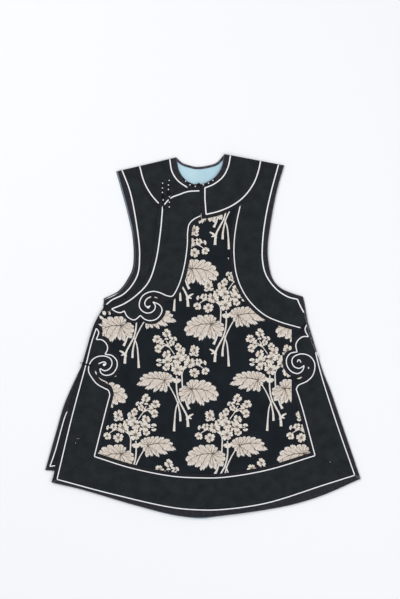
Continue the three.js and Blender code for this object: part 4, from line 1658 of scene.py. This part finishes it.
def tinted(mesh: Mesh, tint: float) -> Mesh:
    """A shape in another shade of its finish."""
    return Mesh(mesh.points, mesh.faces, mesh.lay, np.full(len(mesh.points), tint), mesh.finish)


VEIN_STEPS = 40  # along a leaf's middle vein


@dataclass(frozen=True)
class LeafDraft:
    """A toothed leaf, in millimetres from its bouquet's middle.

    A lobe is its direction from the leaf's base, in degrees, its length and how far out the
    notch after it lies, as a share of that length. The middle vein leaves the base in the
    direction aim and turns by bend on its way.
    """

    x: float
    y: float
    aim: float
    bend: float
    length: float
    lobes: tuple[tuple[float, float, float], ...]

    def middle_vein(self, shares: np.ndarray) -> np.ndarray:
        """Points at shares of the middle vein, from the leaf's base."""
        fine = np.linspace(0, 1, VEIN_STEPS + 1)
        turn = np.radians(self.aim + self.bend * (fine[:-1] + fine[1:]) / 2)
        steps = np.column_stack([np.cos(turn), np.sin(turn)]) * self.length / VEIN_STEPS
        line = np.vstack([[0.0, 0.0], np.cumsum(steps, axis=0)])
        return np.column_stack([np.interp(shares, fine, line[:, k]) for k in (0, 1)])


@dataclass(frozen=True)
class BouquetDraft:
    """One bouquet, in millimetres from where its stems cross.

    A floret is its middle, its reach and its level. A bud is its middle, its reach and the way
    it points, in degrees.
    """

    florets: tuple[tuple[float, float, float, int], ...] = (
        (0, 140, 9, 0), (-28, 122, 11, 0), (-29, 89, 9, 0), (19, 114, 9, 0), (52, 103, 9, 0),
        (41, 132, 12.5, 0), (68, 80, 9.5, 0), (-52, 160, 11, 0), (-28, 174, 11, 0),
        (-50, 136, 10, 0), (7, 126, 11, 1), (-27, 103, 12, 1), (40, 76, 12.5, 1),
        (-41, 145, 7.5, 1), (-16, 150, 8, 1), (-1, 110, 13, 2), (30, 101, 14, 2),
        (-2, 83, 14.5, 3),
    )
    buds: tuple[tuple[float, float, float, float], ...] = (
        (-14, 114, 7, 120), (-14, 96, 7, 200), (14, 134, 7, 30), (14, 90, 7, 300),
        (32, 122, 6, 230), (47, 120, 6, 290), (67, 101, 7, 15), (-29, 160, 6, 95),
        (-17, 162, 7, 70), (-7, 161, 7, 35), (-39, 153, 6, 150), (-26, 147, 5, 0),
        (-48, 107, 8, 95), (-48, 96, 7.5, 265), (-3.5, 57, 13, 268),
    )
    stalks: tuple[Knots, ...] = (
        ((-9, 122), (-16, 132), (-23, 142), (-29, 155)),
        ((-21, 139), (-33, 144), (-45, 139)),
        ((-23, 142), (-37, 150), (-49, 157)),
        ((-22, 141), (-13, 151), (-8, 158)),
        ((32, 88), (44, 95), (56, 100), (66, 101)),
        ((48, 96), (59, 90), (68, 82)),
        ((-41, 101), (-48, 102)),
    )
    stems: tuple[tuple[Knots, tuple[float, ...]], ...] = (
        (((-26, 50), (-13, 28), (-2, 4), (1, -7), (5, -28), (6, -45)),
         (2.6, 2.8, 3.2, 3.8, 5.8)),
        (((1, 4), (-5, -12), (-8, -36), (-10, -70)), (2.6, 3.2, 3.8, 6.0)),
        (((-3, 68), (-4, 55), (-3, 30), (2, 8), (11, -10), (22, -32), (25, -59)),
         (3.2, 3.6, 3.8, 4.4, 6.8)),
        (((24, 92), (14, 84), (10, 74), (10, 58), (11, 38)), (2.6, 3.2, 3.2)),
        (((31, 33), (22, 16)), (2.6, 2.6)),
        (((17, 12), (22, -3), (28, -15)), (3.0, 4.0, 6.4)),
        (((21, -42), (29, -32), (38, -27)), (5.0, 5.5, 3.0)),
        (((24, -37), (29, -37), (34, -39)), (4.5, 4.0, 2.0)),
    )
    leaves: tuple[LeafDraft, ...] = (
        LeafDraft(-33, 56, 158, 44, 66, (
            (14, 24, 0.86), (40, 22, 0.9), (68, 21, 0.94), (98, 22, 0.94), (122, 27, 0.95),
            (139, 35, 0.95), (153, 45, 0.95), (165, 57, 0.93), (175, 63, 0.9), (188, 71, 0.72),
            (202, 53, 0.66), (225, 40, 0.56), (245, 29, 0.7), (276, 29, 0.72), (308, 17, 0.6),
        )),
        LeafDraft(35, 35, 8, -52, 68, (
            (4, 60, 0.95), (18, 50, 0.95), (34, 39, 0.94), (58, 27, 0.92), (94, 24, 0.88),
            (132, 21, 0.22), (163, 25, 0.94), (182, 33, 0.92), (200, 36, 0.9), (229, 41, 0.5),
            (256, 40, 0.84), (274, 36, 0.6), (306, 50, 0.74), (323, 53, 0.88), (336, 67, 0.92),
            (348, 68, 0.95),
        )),
    )
    teeth: Knots = (  # along half a lobe, as shares of its half angle and of its height
        (1.0, 0.0), (0.84, 0.62), (0.64, 0.4), (0.5, 0.9), (0.32, 0.74), (0.08, 1.0),
    )
    notched: Knots = (
        (0.12, 0.0), (0.22, 0.12), (0.4, 0.27), (0.62, 0.39), (0.85, 0.36), (1.0, 0.2),
        (0.88, 0.0),
    )


@dataclass(frozen=True)
class Bouquet:
    """Makes a bouquet's shapes, at height 0 where they lie on the cloth."""

    draft: BouquetDraft = BouquetDraft()
    layer: float = 0.085  # how far one floret lies above the next
    swell: float = 0.19
    vein: float = 1.7
    leaf_roll: float = 5.0  # how far in from its edge a leaf reaches its full height
    leaf_grain: float = 3.4
    ridge: tuple[float, float] = (0.32, 0.72)  # its ends, as shares of a petal's length

    def petal(self, size: float) -> Mesh:
        """A notched petal that points along x from its flower's middle."""
        half = np.array(self.draft.notched) * size
        half = seam(*half.tolist(), step=max(size / 8, 0.9))
        outline = np.vstack([half, half[-2:0:-1] * (1, -1)])
        middle = np.clip(outline[:, 0], *(share * size for share in self.ridge))
        focus = np.column_stack([middle, np.zeros(len(outline))])
        return puffed(outline, focus, self.swell, rings=3)

    def crease(self, size: float) -> Mesh:
        """The brown stitches along a petal from its flower's middle."""
        line = np.array([[0.1, 0.0], [0.35, 0.0], [0.7, 0.0]]) * size
        return strip(line, (0.1 * size, 0.09 * size, 0.1), 0.03).finished(1)

    def floret(self, index: int, x: float, y: float, size: float, level: int) -> list[Mesh]:
        """An open flower of five petals, on a dark ground that parts it from the next."""
        turn, up = 18 + 47 * index, level * self.layer
        rim = np.arange(30) * 2 * math.pi / 30
        reach = size * (1.0 + 0.06 * np.cos(5 * (rim - math.radians(turn))))
        ground = np.column_stack([np.cos(rim) * reach, np.sin(rim) * reach])
        parts = [
            placed(puffed(ground, np.zeros_like(ground), 0.03, rings=1), x, y, 0, up + 0.01)
            .finished(2)
        ]
        for k in range(5):
            scale = size * (1.01 + 0.10 * math.sin(3 * index + 2 * k))
            shade = 0.6 + 0.4 * math.sin(2.3 * index + 1.7 * k)
            aim = turn + 72 * k + 7 * math.sin(5 * index + 3 * k)
            parts.append(placed(tinted(self.petal(scale), shade), x, y, aim, up + 0.04))
            parts.append(placed(self.crease(scale), x, y, aim, up + 0.03 + self.swell))
        middle = bead(0, 0, up + 0.06, size * 0.1, self.swell + 0.03)
        return [*parts, placed(middle, x, y).finished(3)]

    def bud(self, index: int, x: float, y: float, size: float, aim: float) -> list[Mesh]:
        """A half-open flower of three petals in its calyx."""
        root = (x - 0.45 * size * math.cos(math.radians(aim)),
                y - 0.45 * size * math.sin(math.radians(aim)))
        parts = []
        for k, off in enumerate((-42, 42, 0)):
            petal = tinted(self.petal(size), 0.5 + 0.2 * ((index + k) % 3))
            parts.append(placed(petal, *root, aim + off, 0.02 + 0.05 * (k == 2)))
        parts.append(placed(self.crease(size), *root, aim, 0.07 + self.swell))
        return parts

    @staticmethod
    def valleys(leaf: LeafDraft) -> list[tuple[float, float]]:
        """The direction and distance of the notch after each lobe of a leaf."""
        found = []
        for here, after in zip(leaf.lobes, (*leaf.lobes[1:], leaf.lobes[0])):
            turn = after[0] + 360 * (after[0] < here[0])
            found.append(((here[0] + turn) / 2, here[2] * min(here[1], after[1])))
        return found

    def leaf_edge(self, leaf: LeafDraft) -> Line:
        """The toothed outline of a leaf, from its base."""
        lobes = leaf.lobes
        valleys = self.valleys(leaf)
        outline = []
        for (turn, reach, _), before, after in zip(lobes, valleys[-1:] + valleys[:-1], valleys):
            sides = []
            for foot_turn, foot_reach in (before, after):
                swing = (foot_turn - turn + 180) % 360 - 180
                sides.append([
                    (foot_reach + out * (reach - foot_reach)) * unit(turn + aside_by * swing)
                    for aside_by, out in self.draft.teeth
                ])
            outline += sides[0] + sides[1][:0:-1]
        return np.array(outline)

    def leaf(self, index: int, leaf: LeafDraft) -> list[Mesh]:
        """A toothed leaf, with the veins that leave its middle vein for its lobes, and strips of
        painted shade that run in from its notches.
        """
        outline = self.leaf_edge(leaf)
        cutting = Cutting({"leaf": outline}, self.leaf_grain)
        rim = distance_to(cutting.points, tree_of(divided(outline, 0.8))) / self.leaf_roll
        rim = np.minimum(rim, 1)
        x, y = cutting.points.T
        blade = Mesh.of(
            np.column_stack([x, y, self.swell * np.sqrt(rim * (2 - rim))]),
            cutting.faces[cutting.owner == 0],
            np.column_stack([0.8 * x + 0.6 * y, 0.8 * y - 0.6 * x, self.leaf_roll * rim]),
        )
        cloudy = 0.16 * np.sin(0.33 * x + index) * np.sin(0.41 * y + 2 * index)
        blade.tint = np.clip(0.66 - 0.5 * rim + cloudy, 0, 0.66)
        parts = [placed(blade, leaf.x, leaf.y, 0, 0.04)]
        up = 0.03 + self.swell
        middle = leaf.middle_vein(np.linspace(0, 0.94, 24))
        parts.append(placed(strip(middle, (1.5 * self.vein, 1.2 * self.vein, 0.4), 0.05),
                            leaf.x, leaf.y, 0, up).finished(1))
        spine = leaf.middle_vein(np.linspace(0, 1, VEIN_STEPS + 1))
        for turn, reach, _ in leaf.lobes:
            tip = 0.86 * reach * unit(turn)
            away = np.linalg.norm(spine - tip, axis=1)
            near = int(np.argmin(away))
            if away[near] < 0.09 * leaf.length:
                continue
            root = max(near - round(VEIN_STEPS * 0.9 * away[near] / leaf.length), 0)
            start = spine[root]
            along = spine[min(root + 4, VEIN_STEPS)] - spine[max(root - 1, 0)]
            bow = along / math.hypot(*along) * 0.1 * math.hypot(*(tip - start))
            vein = seam(start, (start + tip) / 2 + bow, tip, step=1.5)
            parts.append(placed(strip(vein, (0.9 * self.vein, 0.75 * self.vein, 0.3), 0.04),
                                leaf.x, leaf.y, 0, up).finished(1))
            parts += self.ribs(leaf, vein, up)
        # Painted shade: a dark strip runs in from each notch, where the lobes would overlap and
        # shade each other.
        for turn, reach in self.valleys(leaf):
            notch = 1.02 * reach * unit(turn)
            foot = spine[max(int(np.argmin(np.linalg.norm(spine - notch, axis=1))) - 6, 0)]
            fold = np.array([notch, 0.75 * notch + 0.25 * foot, 0.5 * (notch + foot)])
            parts.append(placed(strip(fold, (1.3 * self.vein, 0.7 * self.vein, 0.2), 0.03),
                                leaf.x, leaf.y, 0, up - 0.02).finished(1))
        return parts

    def ribs(self, leaf: LeafDraft, vein: Line, up: float) -> list[Mesh]:
        """The fine ribs on both sides of a leaf's vein."""
        long = lengths(vein)[-1]
        parts = []
        for share in (0.2, 0.37, 0.54, 0.71) if long > 20 else (0.3, 0.6):
            at = int(share * (len(vein) - 1))
            ahead = vein[min(at + 1, len(vein) - 1)] - vein[at - 1]
            turn = math.degrees(math.atan2(ahead[1], ahead[0]))
            for side in (-1, 1):
                reach = 0.2 * long
                rib = strip(np.array([[0.0, 0.0], [0.6, 0.0], [1.0, 0.0]]) * reach,
                            (0.55 * self.vein, 0.45 * self.vein, 0.2), 0.03)
                parts.append(placed(rib, leaf.x + vein[at, 0], leaf.y + vein[at, 1],
                                    turn + 36 * side, up - 0.03).finished(1))
        return parts

    def make(self) -> Mesh:
        """The whole bouquet."""
        draft, parts = self.draft, []
        for i, leaf in enumerate(draft.leaves):
            parts += self.leaf(i, leaf)
        for knots, widths in draft.stems:
            line = seam(*knots, step=3.0)
            parts.append(placed(tinted(strip(line, widths, self.swell), 0.62), 0, 0, 0, 0.05))
        for knots in draft.stalks:
            line = seam(*knots, step=3.0)
            parts.append(placed(tinted(strip(line, (2.2, 1.8), 0.14), 0.6), 0, 0, 0, 0.03))
        for i, bud in enumerate(draft.buds):
            parts += self.bud(i, *bud)
        for i, floret in enumerate(draft.florets):
            parts += self.floret(i, *floret)
        return Mesh.joined(parts)


@dataclass(frozen=True)
class Repeat:
    """How the bouquets repeat over the brocade."""

    facing_left: Knots = (
        (-289.5, -175), (-62, -169), (170.5, -168), (-62, 131), (-57, -494), (174, -492),
    )
    facing_right: Knots = (
        (-170, -11), (54.5, -7), (282.5, -11), (-170.5, -331), (58, -331), (286.5, -331), (55, 285),
    )
    gore: float = 221.5  # the seam where the cloth is pieced, and its flowers are cut off
    gore_foot: float = -250.0  # the lowest crossing of the stems that the seam cuts
    underarm: float = -250.0  # the x at which the left side's seam takes in the flowers above
    underarm_foot: float = -40.0

    def make(self, tailor: Tailor) -> list[bpy.types.Object]:
        """Lays every bouquet that shows on the brocade.

        Args:
            tailor: What lays the pieces.

        Returns:
            The bouquets.
        """
        shape = Bouquet().make()
        covers = list(tailor.draft.front_pieces().values())
        made = []
        for mirror, places in ((1, self.facing_left), (-1, self.facing_right)):
            for middle in places:
                edge = self.gore if middle[1] > self.gore_foot else math.inf
                bouquet = self.at(shape, mirror, middle, edge, tailor, covers)
                if bouquet:
                    made.append(self.lay(bouquet, f"bouquet_{len(made) + 1}", tailor))
        return made

    @staticmethod
    def lay(mesh: Mesh, name: str, tailor: Tailor) -> bpy.types.Object:
        """Makes one bouquet's object."""
        silks = [tailor.finish(c) for c in (PETAL_SILK, VEIN_SILK, SHADOW_SILK, POLLEN_SILK)]
        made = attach(mesh.to_object(name, silks), BODY)
        LOG.info("%s: %d triangles", name, len(mesh.faces))
        return made

    def at(self, shape: Mesh, mirror: int, middle: tuple[float, float], edge: float,
           tailor: Tailor, covers: list[Line]) -> Mesh | None:
        """The part of a bouquet that shows at a place, or None.

        Args:
            shape: The bouquet.
            mirror: -1 turns its left side to its right.
            middle: Where its stems cross.
            edge: The x at which its cloth ends.
            tailor: Knows the height of the cloth.
            covers: The outlines of what lies over the brocade.

        Returns:
            The bouquet on the cloth, without the faces that are hidden.
        """
        flat = shape.points[:, :2] * (mirror, 1) + middle
        shown = inside(flat, tailor.front) & (flat[:, 0] < edge)
        shown &= (flat[:, 0] > self.underarm) | (flat[:, 1] < self.underarm_foot)
        flat[:, 0] = np.minimum(flat[:, 0], edge)
        for loop in covers:
            shown &= ~inside(flat, loop)
        kept = shown[shape.faces].any(1)
        if not kept.any():
            return None
        used, faces = np.unique(shape.faces[kept], return_inverse=True)
        faces = faces.reshape(-1, 3)
        flat = flat[used]
        z = shape.points[used, 2] + tailor.height(flat, LAYERS.panel, True)
        return Mesh(
            np.column_stack([flat, z]), faces[:, ::mirror], shape.lay[used], shape.tint[used],
            shape.finish[kept],
        )


# ---- Small woven bits, panel seams and stitches ----


@dataclass(frozen=True)
class Mark:
    """A short mark of silk: its line, its width and whether it lies on the bands."""

    knots: Knots
    width: float
    front: bool = True
    shade: float = 0.6


@dataclass(frozen=True)
class Marks:
    """Bits of the woven flowers beside the scrolls, loose threads, a painted highlight along a
    binding's edge, and the brocade's joins.
    """

    flowers: tuple[Mark, ...] = (
        Mark(((282, -40), (287, -46), (288, -54)), 4.2),
        Mark(((-269, -88), (-267, -93), (-265, -98)), 3.0),
        Mark(((-261, -104), (-254, -110), (-246, -114), (-236, -118)), 2.4),
        Mark(((263, -78), (264.5, -84)), 3.4),
        Mark(((234, -108), (241, -107), (248, -103)), 3.0),
        Mark(((-122.5, 95), (-118, 95.5), (-113, 92)), 2.4, shade=0.1),
        Mark(((-11, 282), (-6, 284), (1, 287)), 3.4),
        Mark(((-251, 60), (-247, 57), (-244, 50)), 9.0),
        Mark(((-237, 55), (-232, 53), (-233, 58), (-238, 59)), 3.0),
        Mark(((-258, 50), (-253, 44), (-246, 41)), 6.5),
        Mark(((-234, 46), (-233, 40), (-236, 36)), 5.0),
        Mark(((-207, 43.5), (-202, 43)), 4.0),
        Mark(((-246, 37), (-243, 32), (-245, 26)), 4.4),
        Mark(((-261, 28), (-256, 27), (-251, 22)), 4.0),
        Mark(((63, 195), (64, 190)), 2.6, shade=0.1),
        Mark(((233, -192), (234, -203)), 2.6, shade=0.1),
    )
    threads: tuple[Mark, ...] = (
        Mark(((-319, -268), (-317, -269)), 1.1),
        # A painted highlight: a pale strip along the binding's outer edge at the left armhole's
        # foot, where the edge catches the light.
        Mark(((-245, 90), (-232, 95.5), (-221, 100.5), (-211, 106)), 1.8),
        Mark(((-315, -257), (-308, -258)), 0.5),
        Mark(((317, -315), (319, -317)), 1.2),
        Mark(((-389.5, -315), (-387.5, -315.5)), 1.6, False),
        Mark(((-393, -335), (-391.5, -336)), 1.6, False),
    )
    joins: tuple[Mark, ...] = (
        Mark(((-3, 278), (-3, 100), (-2.5, -100), (-3, -345)), 0.7),
        Mark(((221.5, 16), (221.5, -100), (221, -255)), 0.6),
    )

    @staticmethod
    def strips(tailor: Tailor, marks: Sequence[Mark], level: float, swell: float) -> Mesh:
        """Short padded strips, laid on a layer."""
        parts = []
        for mark in marks:
            line = spaced(seam(*mark.knots, step=1.0), 1.0)
            sewn = tinted(strip(line, (0.3, mark.width, mark.width, 0.3), swell), mark.shade)
            sewn.points[:, 2] += tailor.height(sewn.points[:, :2], level, mark.front)
            parts.append(sewn)
        return Mesh.joined(parts)

    def make(self, tailor: Tailor) -> list[bpy.types.Object]:
        """Lays every mark."""
        made = []
        for name, marks, level, swell, cloth in (
            ("flower_bits", self.flowers, LAYERS.band + 0.03, 0.25, PETAL_SILK),
            ("loose_threads_and_edge_highlight", self.threads, LAYERS.band + 0.03, 0.6, PEARL),
            ("brocade_joins", self.joins, LAYERS.panel + 0.01, 0.05, JOIN_THREAD),
        ):
            mesh = self.strips(tailor, marks, level, swell)
            made.append(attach(mesh.to_object(name, [tailor.finish(cloth)]), BODY))
        return made


@dataclass(frozen=True)
class Stitching:
    """The running stitches beside each piping."""

    offset: float = 2.5
    length: float = 1.7
    pitch: float = 3.1
    width: float = 0.5
    clear: float = 1.9  # from the middle of any piping

    def make(self, tailor: Tailor) -> bpy.types.Object:
        """Sews every stitch that shows on the bands.

        Args:
            tailor: Knows the seams and the cloth's height.

        Returns:
            The stitches.
        """
        places = []
        for name, line in tailor.pipings.items():
            if "curl" in name:
                continue
            for side in (-self.offset, self.offset):
                track = spaced(aside(line, side), self.pitch)
                ahead = np.gradient(track, axis=0)
                places.append(np.column_stack([track, np.arctan2(ahead[:, 1], ahead[:, 0])]))
        places = np.vstack(places)
        held = np.zeros(len(places), bool)
        for loop in tailor.draft.front_pieces().values():
            held |= inside(places[:, :2], loop)
        places = places[held & (distance_to(places[:, :2], tailor.seams) > self.clear)]
        row = np.array([[-0.5, 0.0], [0.0, 0.0], [0.5, 0.0]]) * self.length
        one = strip(row, (0.2, self.width, 0.2), 0.2)
        cos, sin = np.cos(places[:, 2:]), np.sin(places[:, 2:])
        x, y, z = one.points.T
        flat = np.dstack([places[:, :1] + cos * x - sin * y, places[:, 1:2] + sin * x + cos * y])
        flat = flat.reshape(-1, 2)
        height = tailor.height(flat, LAYERS.band + 0.02, True) + np.tile(z, len(places))
        start = np.arange(len(places))[:, None, None] * len(one.points)
        mesh = Mesh.of(
            np.column_stack([flat, height]), (one.faces[None] + start).reshape(-1, 3),
            np.tile(one.lay, (len(places), 1)),
        )
        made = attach(mesh.to_object("running_stitches", [tailor.finish(THREAD)]), BODY)
        LOG.info("running_stitches: %d", len(places))
        return made


# ---- Closures ----


OFF_AXIS = (0.13, 0.27, 0.95)  # a direction that no cord starts in


def swept(path: np.ndarray, radius: float, sides: int = 8) -> Mesh:
    """A round cord along a path in space.

    Args:
        path: Rows of x, y, z.
        radius: The cord's radius.
        sides: How many faces go round it.

    Returns:
        The cord.
    """
    ahead = heading(path)
    side = np.zeros_like(path)
    last = np.cross(ahead[0], OFF_AXIS)
    for i, direction in enumerate(ahead):
        last = last - direction * (last @ direction)
        last = last / max(np.linalg.norm(last), TINY)
        side[i] = last
    turn = around(sides)
    cos, sin = np.cos(turn)[:, None], np.sin(turn)[:, None]
    ring = side[:, None] * cos + np.cross(ahead, side)[:, None] * sin
    return corded(path[:, None] + radius * ring, lengths(path), turn, radius)


def bead(x: float, y: float, z: float, wide: float, high: float) -> Mesh:
    """A small flattened ball.

    Args:
        x: Its middle.
        y: Its middle.
        z: Its middle.
        wide: Half its width.
        high: Half its height.

    Returns:
        The ball.
    """
    sides, rows = 12, 7
    tilt = np.linspace(0, math.pi, rows + 1)[1:-1]
    ring = np.array([
        (x + wide * math.sin(t) * math.cos(a), y + wide * math.sin(t) * math.sin(a),
         z + high * math.cos(t))
        for t in tilt for a in around(sides)
    ])
    points = np.vstack([ring, [[x, y, z + high], [x, y, z - high]]])
    top, foot, after = len(ring), len(ring) + 1, (np.arange(sides) + 1) % sides
    faces = [(top, i, after[i]) for i in range(sides)]
    for row in range(len(tilt) - 1):
        here = row * sides
        for i in range(sides):
            a, b = here + i, here + after[i]
            faces += [(a, a + sides, b + sides), (a, b + sides, b)]
    last = (len(tilt) - 1) * sides
    faces += [(foot, last + after[i], last + i) for i in range(sides)]
    return Mesh.of(points, np.array(faces), points - (x, y, z))


@dataclass(frozen=True)
class FrogDraft:
    """One frog closure: its two legs, its knot, and the white dots sewn along it."""

    nodes: tuple[str, ...]
    legs: tuple[Knots, ...]
    knot: tuple[float, float] | None
    dots: Knots


FROGS = {
    "neck_frog": FrogDraft(
        ("neck_frog_knot", "neck_frog_loop"),
        (
            ((-48, 391), (-42, 384), (-33, 378), (-24, 375), (-12, 377)),
            ((-6, 375), (1, 375), (14, 380), (25, 387), (30, 392)),
        ),
        (-10, 377),
        ((-43, 385), (-32, 376), (-19, 372), (1, 376), (14, 380), (25, 387)),
    ),
    "overlap_left_frog": FrogDraft(
        ("overlap_left_frog_knot", "overlap_left_frog_loop"),
        (((-101, 385), (-101, 367), (-101, 350)), ((-100, 346), (-99, 338), (-98, 316))),
        (-100.5, 349),
        ((-100.5, 380), (-101, 368), (-101, 357), (-99, 338)),
    ),
    "overlap_right_frog": FrogDraft(
        ("overlap_right_frog_knot", "overlap_right_frog_loop"),
        (((-84, 391), (-86, 375), (-86, 358)), ((-85, 354), (-83.5, 346), (-84, 316))),
        (-86, 356),
        ((-84, 387), (-86, 375.5), (-86, 364.5), (-83.5, 346), (-83.7, 332.5), (-83.7, 320.5)),
    ),
    "side_frog": FrogDraft(
        ("side_frog",),
        (((-304, -69), (-292, -72), (-280, -75)),),
        None,
        ((-303, -69.5),),
    ),
}


@dataclass(frozen=True)
class Closures:
    """The black cord frogs and their white dots."""

    radius: float = 1.05
    apart: float = 1.05  # half the distance between a leg's two cords
    knot: float = 3.4
    dot: float = 1.75
    climb: float = 1.5  # over a piping
    climb_reach: float = 2.6
    step: float = 0.8  # along a leg
    rest: float = 0.85  # how high a cord's or a knot's middle lies, as a share of its radius

    def ground(self, tailor: Tailor, points: np.ndarray) -> np.ndarray:
        """The height of what shows at rows of x, y, with the pipings there."""
        under = tailor.height(points, LAYERS.band, False)
        over = tailor.height(points, LAYERS.band, True)
        z = np.where(inside(points, tailor.front), over, under)
        return z + self.climb * mesa(distance_to(points, tailor.seams), 0, self.climb_reach)

    def leg(self, tailor: Tailor, knots: Knots) -> list[Mesh]:
        """Two cords side by side, joined by a loop at the free end."""
        line = seam(*knots, step=self.step)
        left, right = aside(line, self.apart), aside(line, -self.apart)
        tip, back = line[0], line[0] - line[min(3, len(line) - 1)]
        back = back / np.hypot(*back)
        bend = [
            tip + self.apart * (math.cos(a) * np.array([-back[1], back[0]]) + math.sin(a) * back)
            for a in np.linspace(math.pi, 0, 7)[1:-1]
        ]
        path = np.vstack([left[::-1], bend, right])
        z = self.ground(tailor, path)
        z = np.convolve(np.pad(z, 2, "edge"), np.full(5, 0.2), "valid")
        return [swept(np.column_stack([path, z + self.radius * self.rest]), self.radius)]

    def ball(self, tailor: Tailor, x: float, y: float) -> Mesh:
        """A knot of cord that turns over and under itself."""
        turns, petals = 3, 4
        t = np.linspace(0, 2 * math.pi * turns, 120, endpoint=False)
        tilt = 0.95 * np.sin(petals * t / turns)
        reach = self.knot * (0.78 + 0.12 * np.cos(2 * petals * t / turns))
        z = float(self.ground(tailor, np.array([[x, y]]))[0]) + self.knot * self.rest
        path = np.column_stack([
            x + reach * np.cos(tilt) * np.cos(t),
            y + reach * np.cos(tilt) * np.sin(t),
            z + reach * np.sin(tilt),
        ])
        return Mesh.joined([
            swept(np.vstack([path, path[:2]]), self.radius * 0.8),
            bead(x, y, z, self.knot * 0.72, self.knot * 0.72),
        ])

    def make(self, tailor: Tailor) -> None:
        """Lays every frog."""
        for name, draft in FROGS.items():
            parts = [cord for leg in draft.legs for cord in self.leg(tailor, leg)]
            if draft.knot:
                parts.append(self.ball(tailor, *draft.knot))
            dots = np.array(draft.dots, float)
            z = self.ground(tailor, dots) + self.radius * 1.9
            parts += [
                bead(x, y, top, self.dot, self.dot * 0.8).finished(1)
                for (x, y), top in zip(dots, z)
            ]
            tailor.lay(Mesh.joined(parts), name, [CORD, PEARL], "cord", draft.nodes)


# ---- Studio ----


@dataclass(frozen=True)
class Studio:
    """The floor, lights and camera, in metres."""

    camera_x: float = -0.00725
    camera_y: float = 0.09225
    camera_z: float = 4.0
    tall: float = 1.4975  # height of what the camera sees at the floor
    sensor: float = 36.0
    floor: float = 12.0
    paper: tuple[float, ...] = (0.86, 0.87, 0.88, 1.0)
    sky: tuple[float, ...] = (0.93, 0.95, 1.0, 1.0)
    sky_strength: float = 0.55
    lights: tuple[tuple[str, tuple[float, float, float], float, float], ...] = (
        ("key", (-1.9, 1.8, 3.4), 2.2, 78.0),
        ("fill", (2.2, -0.6, 3.2), 2.4, 40.0),
        ("foot", (0.2, -2.6, 3.0), 2.0, 17.0),
    )  # each one's name, place, size and power

    def light(self, name: str, place: tuple[float, float, float], size: float,
              power: float) -> None:
        """Adds a square light that faces the middle of the jacket."""
        data = bpy.data.lights.new(name, "AREA")
        data.shape, data.size, data.energy = "SQUARE", size, power
        made = bpy.data.objects.new(name, data)
        made.location = place
        made.rotation_euler = (-made.location).to_track_quat("-Z", "Y").to_euler()
        bpy.context.scene.collection.objects.link(made)

    def make(self) -> None:
        """Sets up the studio."""
        half = self.floor / 2
        data = bpy.data.meshes.new("floor")
        corners = [(-half, -half, 0), (half, -half, 0), (half, half, 0), (-half, half, 0)]
        data.from_pydata(corners, [], [(0, 1, 2, 3)])
        floor = bpy.data.objects.new("floor", data)
        bpy.context.scene.collection.objects.link(floor)
        paper = Recipe("pale_paper")
        surface = paper.node("BsdfPrincipled", {
            "Base Color": self.paper, "Roughness": 0.9, "Specular IOR Level": 0.1,
        })
        paper.node("OutputMaterial", {"Surface": surface.outputs[0]})
        data.materials.append(paper.material)
        for name, place, size, power in self.lights:
            self.light(name, place, size, power)
        world = bpy.data.worlds.new("room")
        world.use_nodes = True
        sky = world.node_tree.nodes["Background"].inputs
        sky[0].default_value, sky[1].default_value = self.sky, self.sky_strength
        scene = bpy.context.scene
        scene.world = world
        scene.view_settings.view_transform = "Standard"
        lens = bpy.data.cameras.new("camera")
        lens.sensor_fit, lens.sensor_height = "VERTICAL", self.sensor
        lens.sensor_width = self.sensor
        lens.lens = self.sensor * self.camera_z / self.tall
        lens.clip_end = 50.0
        camera = bpy.data.objects.new("camera", lens)
        camera.location = (self.camera_x, self.camera_y, self.camera_z)
        scene.collection.objects.link(camera)
        scene.camera = camera


def main() -> None:
    """Makes the whole jacket and its studio."""
    logging.basicConfig(level=logging.INFO, format="%(message)s")
    tailor = Tailor(Draft(), Relief())
    Studio().make()
    lining = Back().make(tailor)
    under = UnderFront().make(tailor, lining)
    Front().make(tailor, [under, lining])
    Closures().make(tailor)


if __name__ == "__main__":
    main()
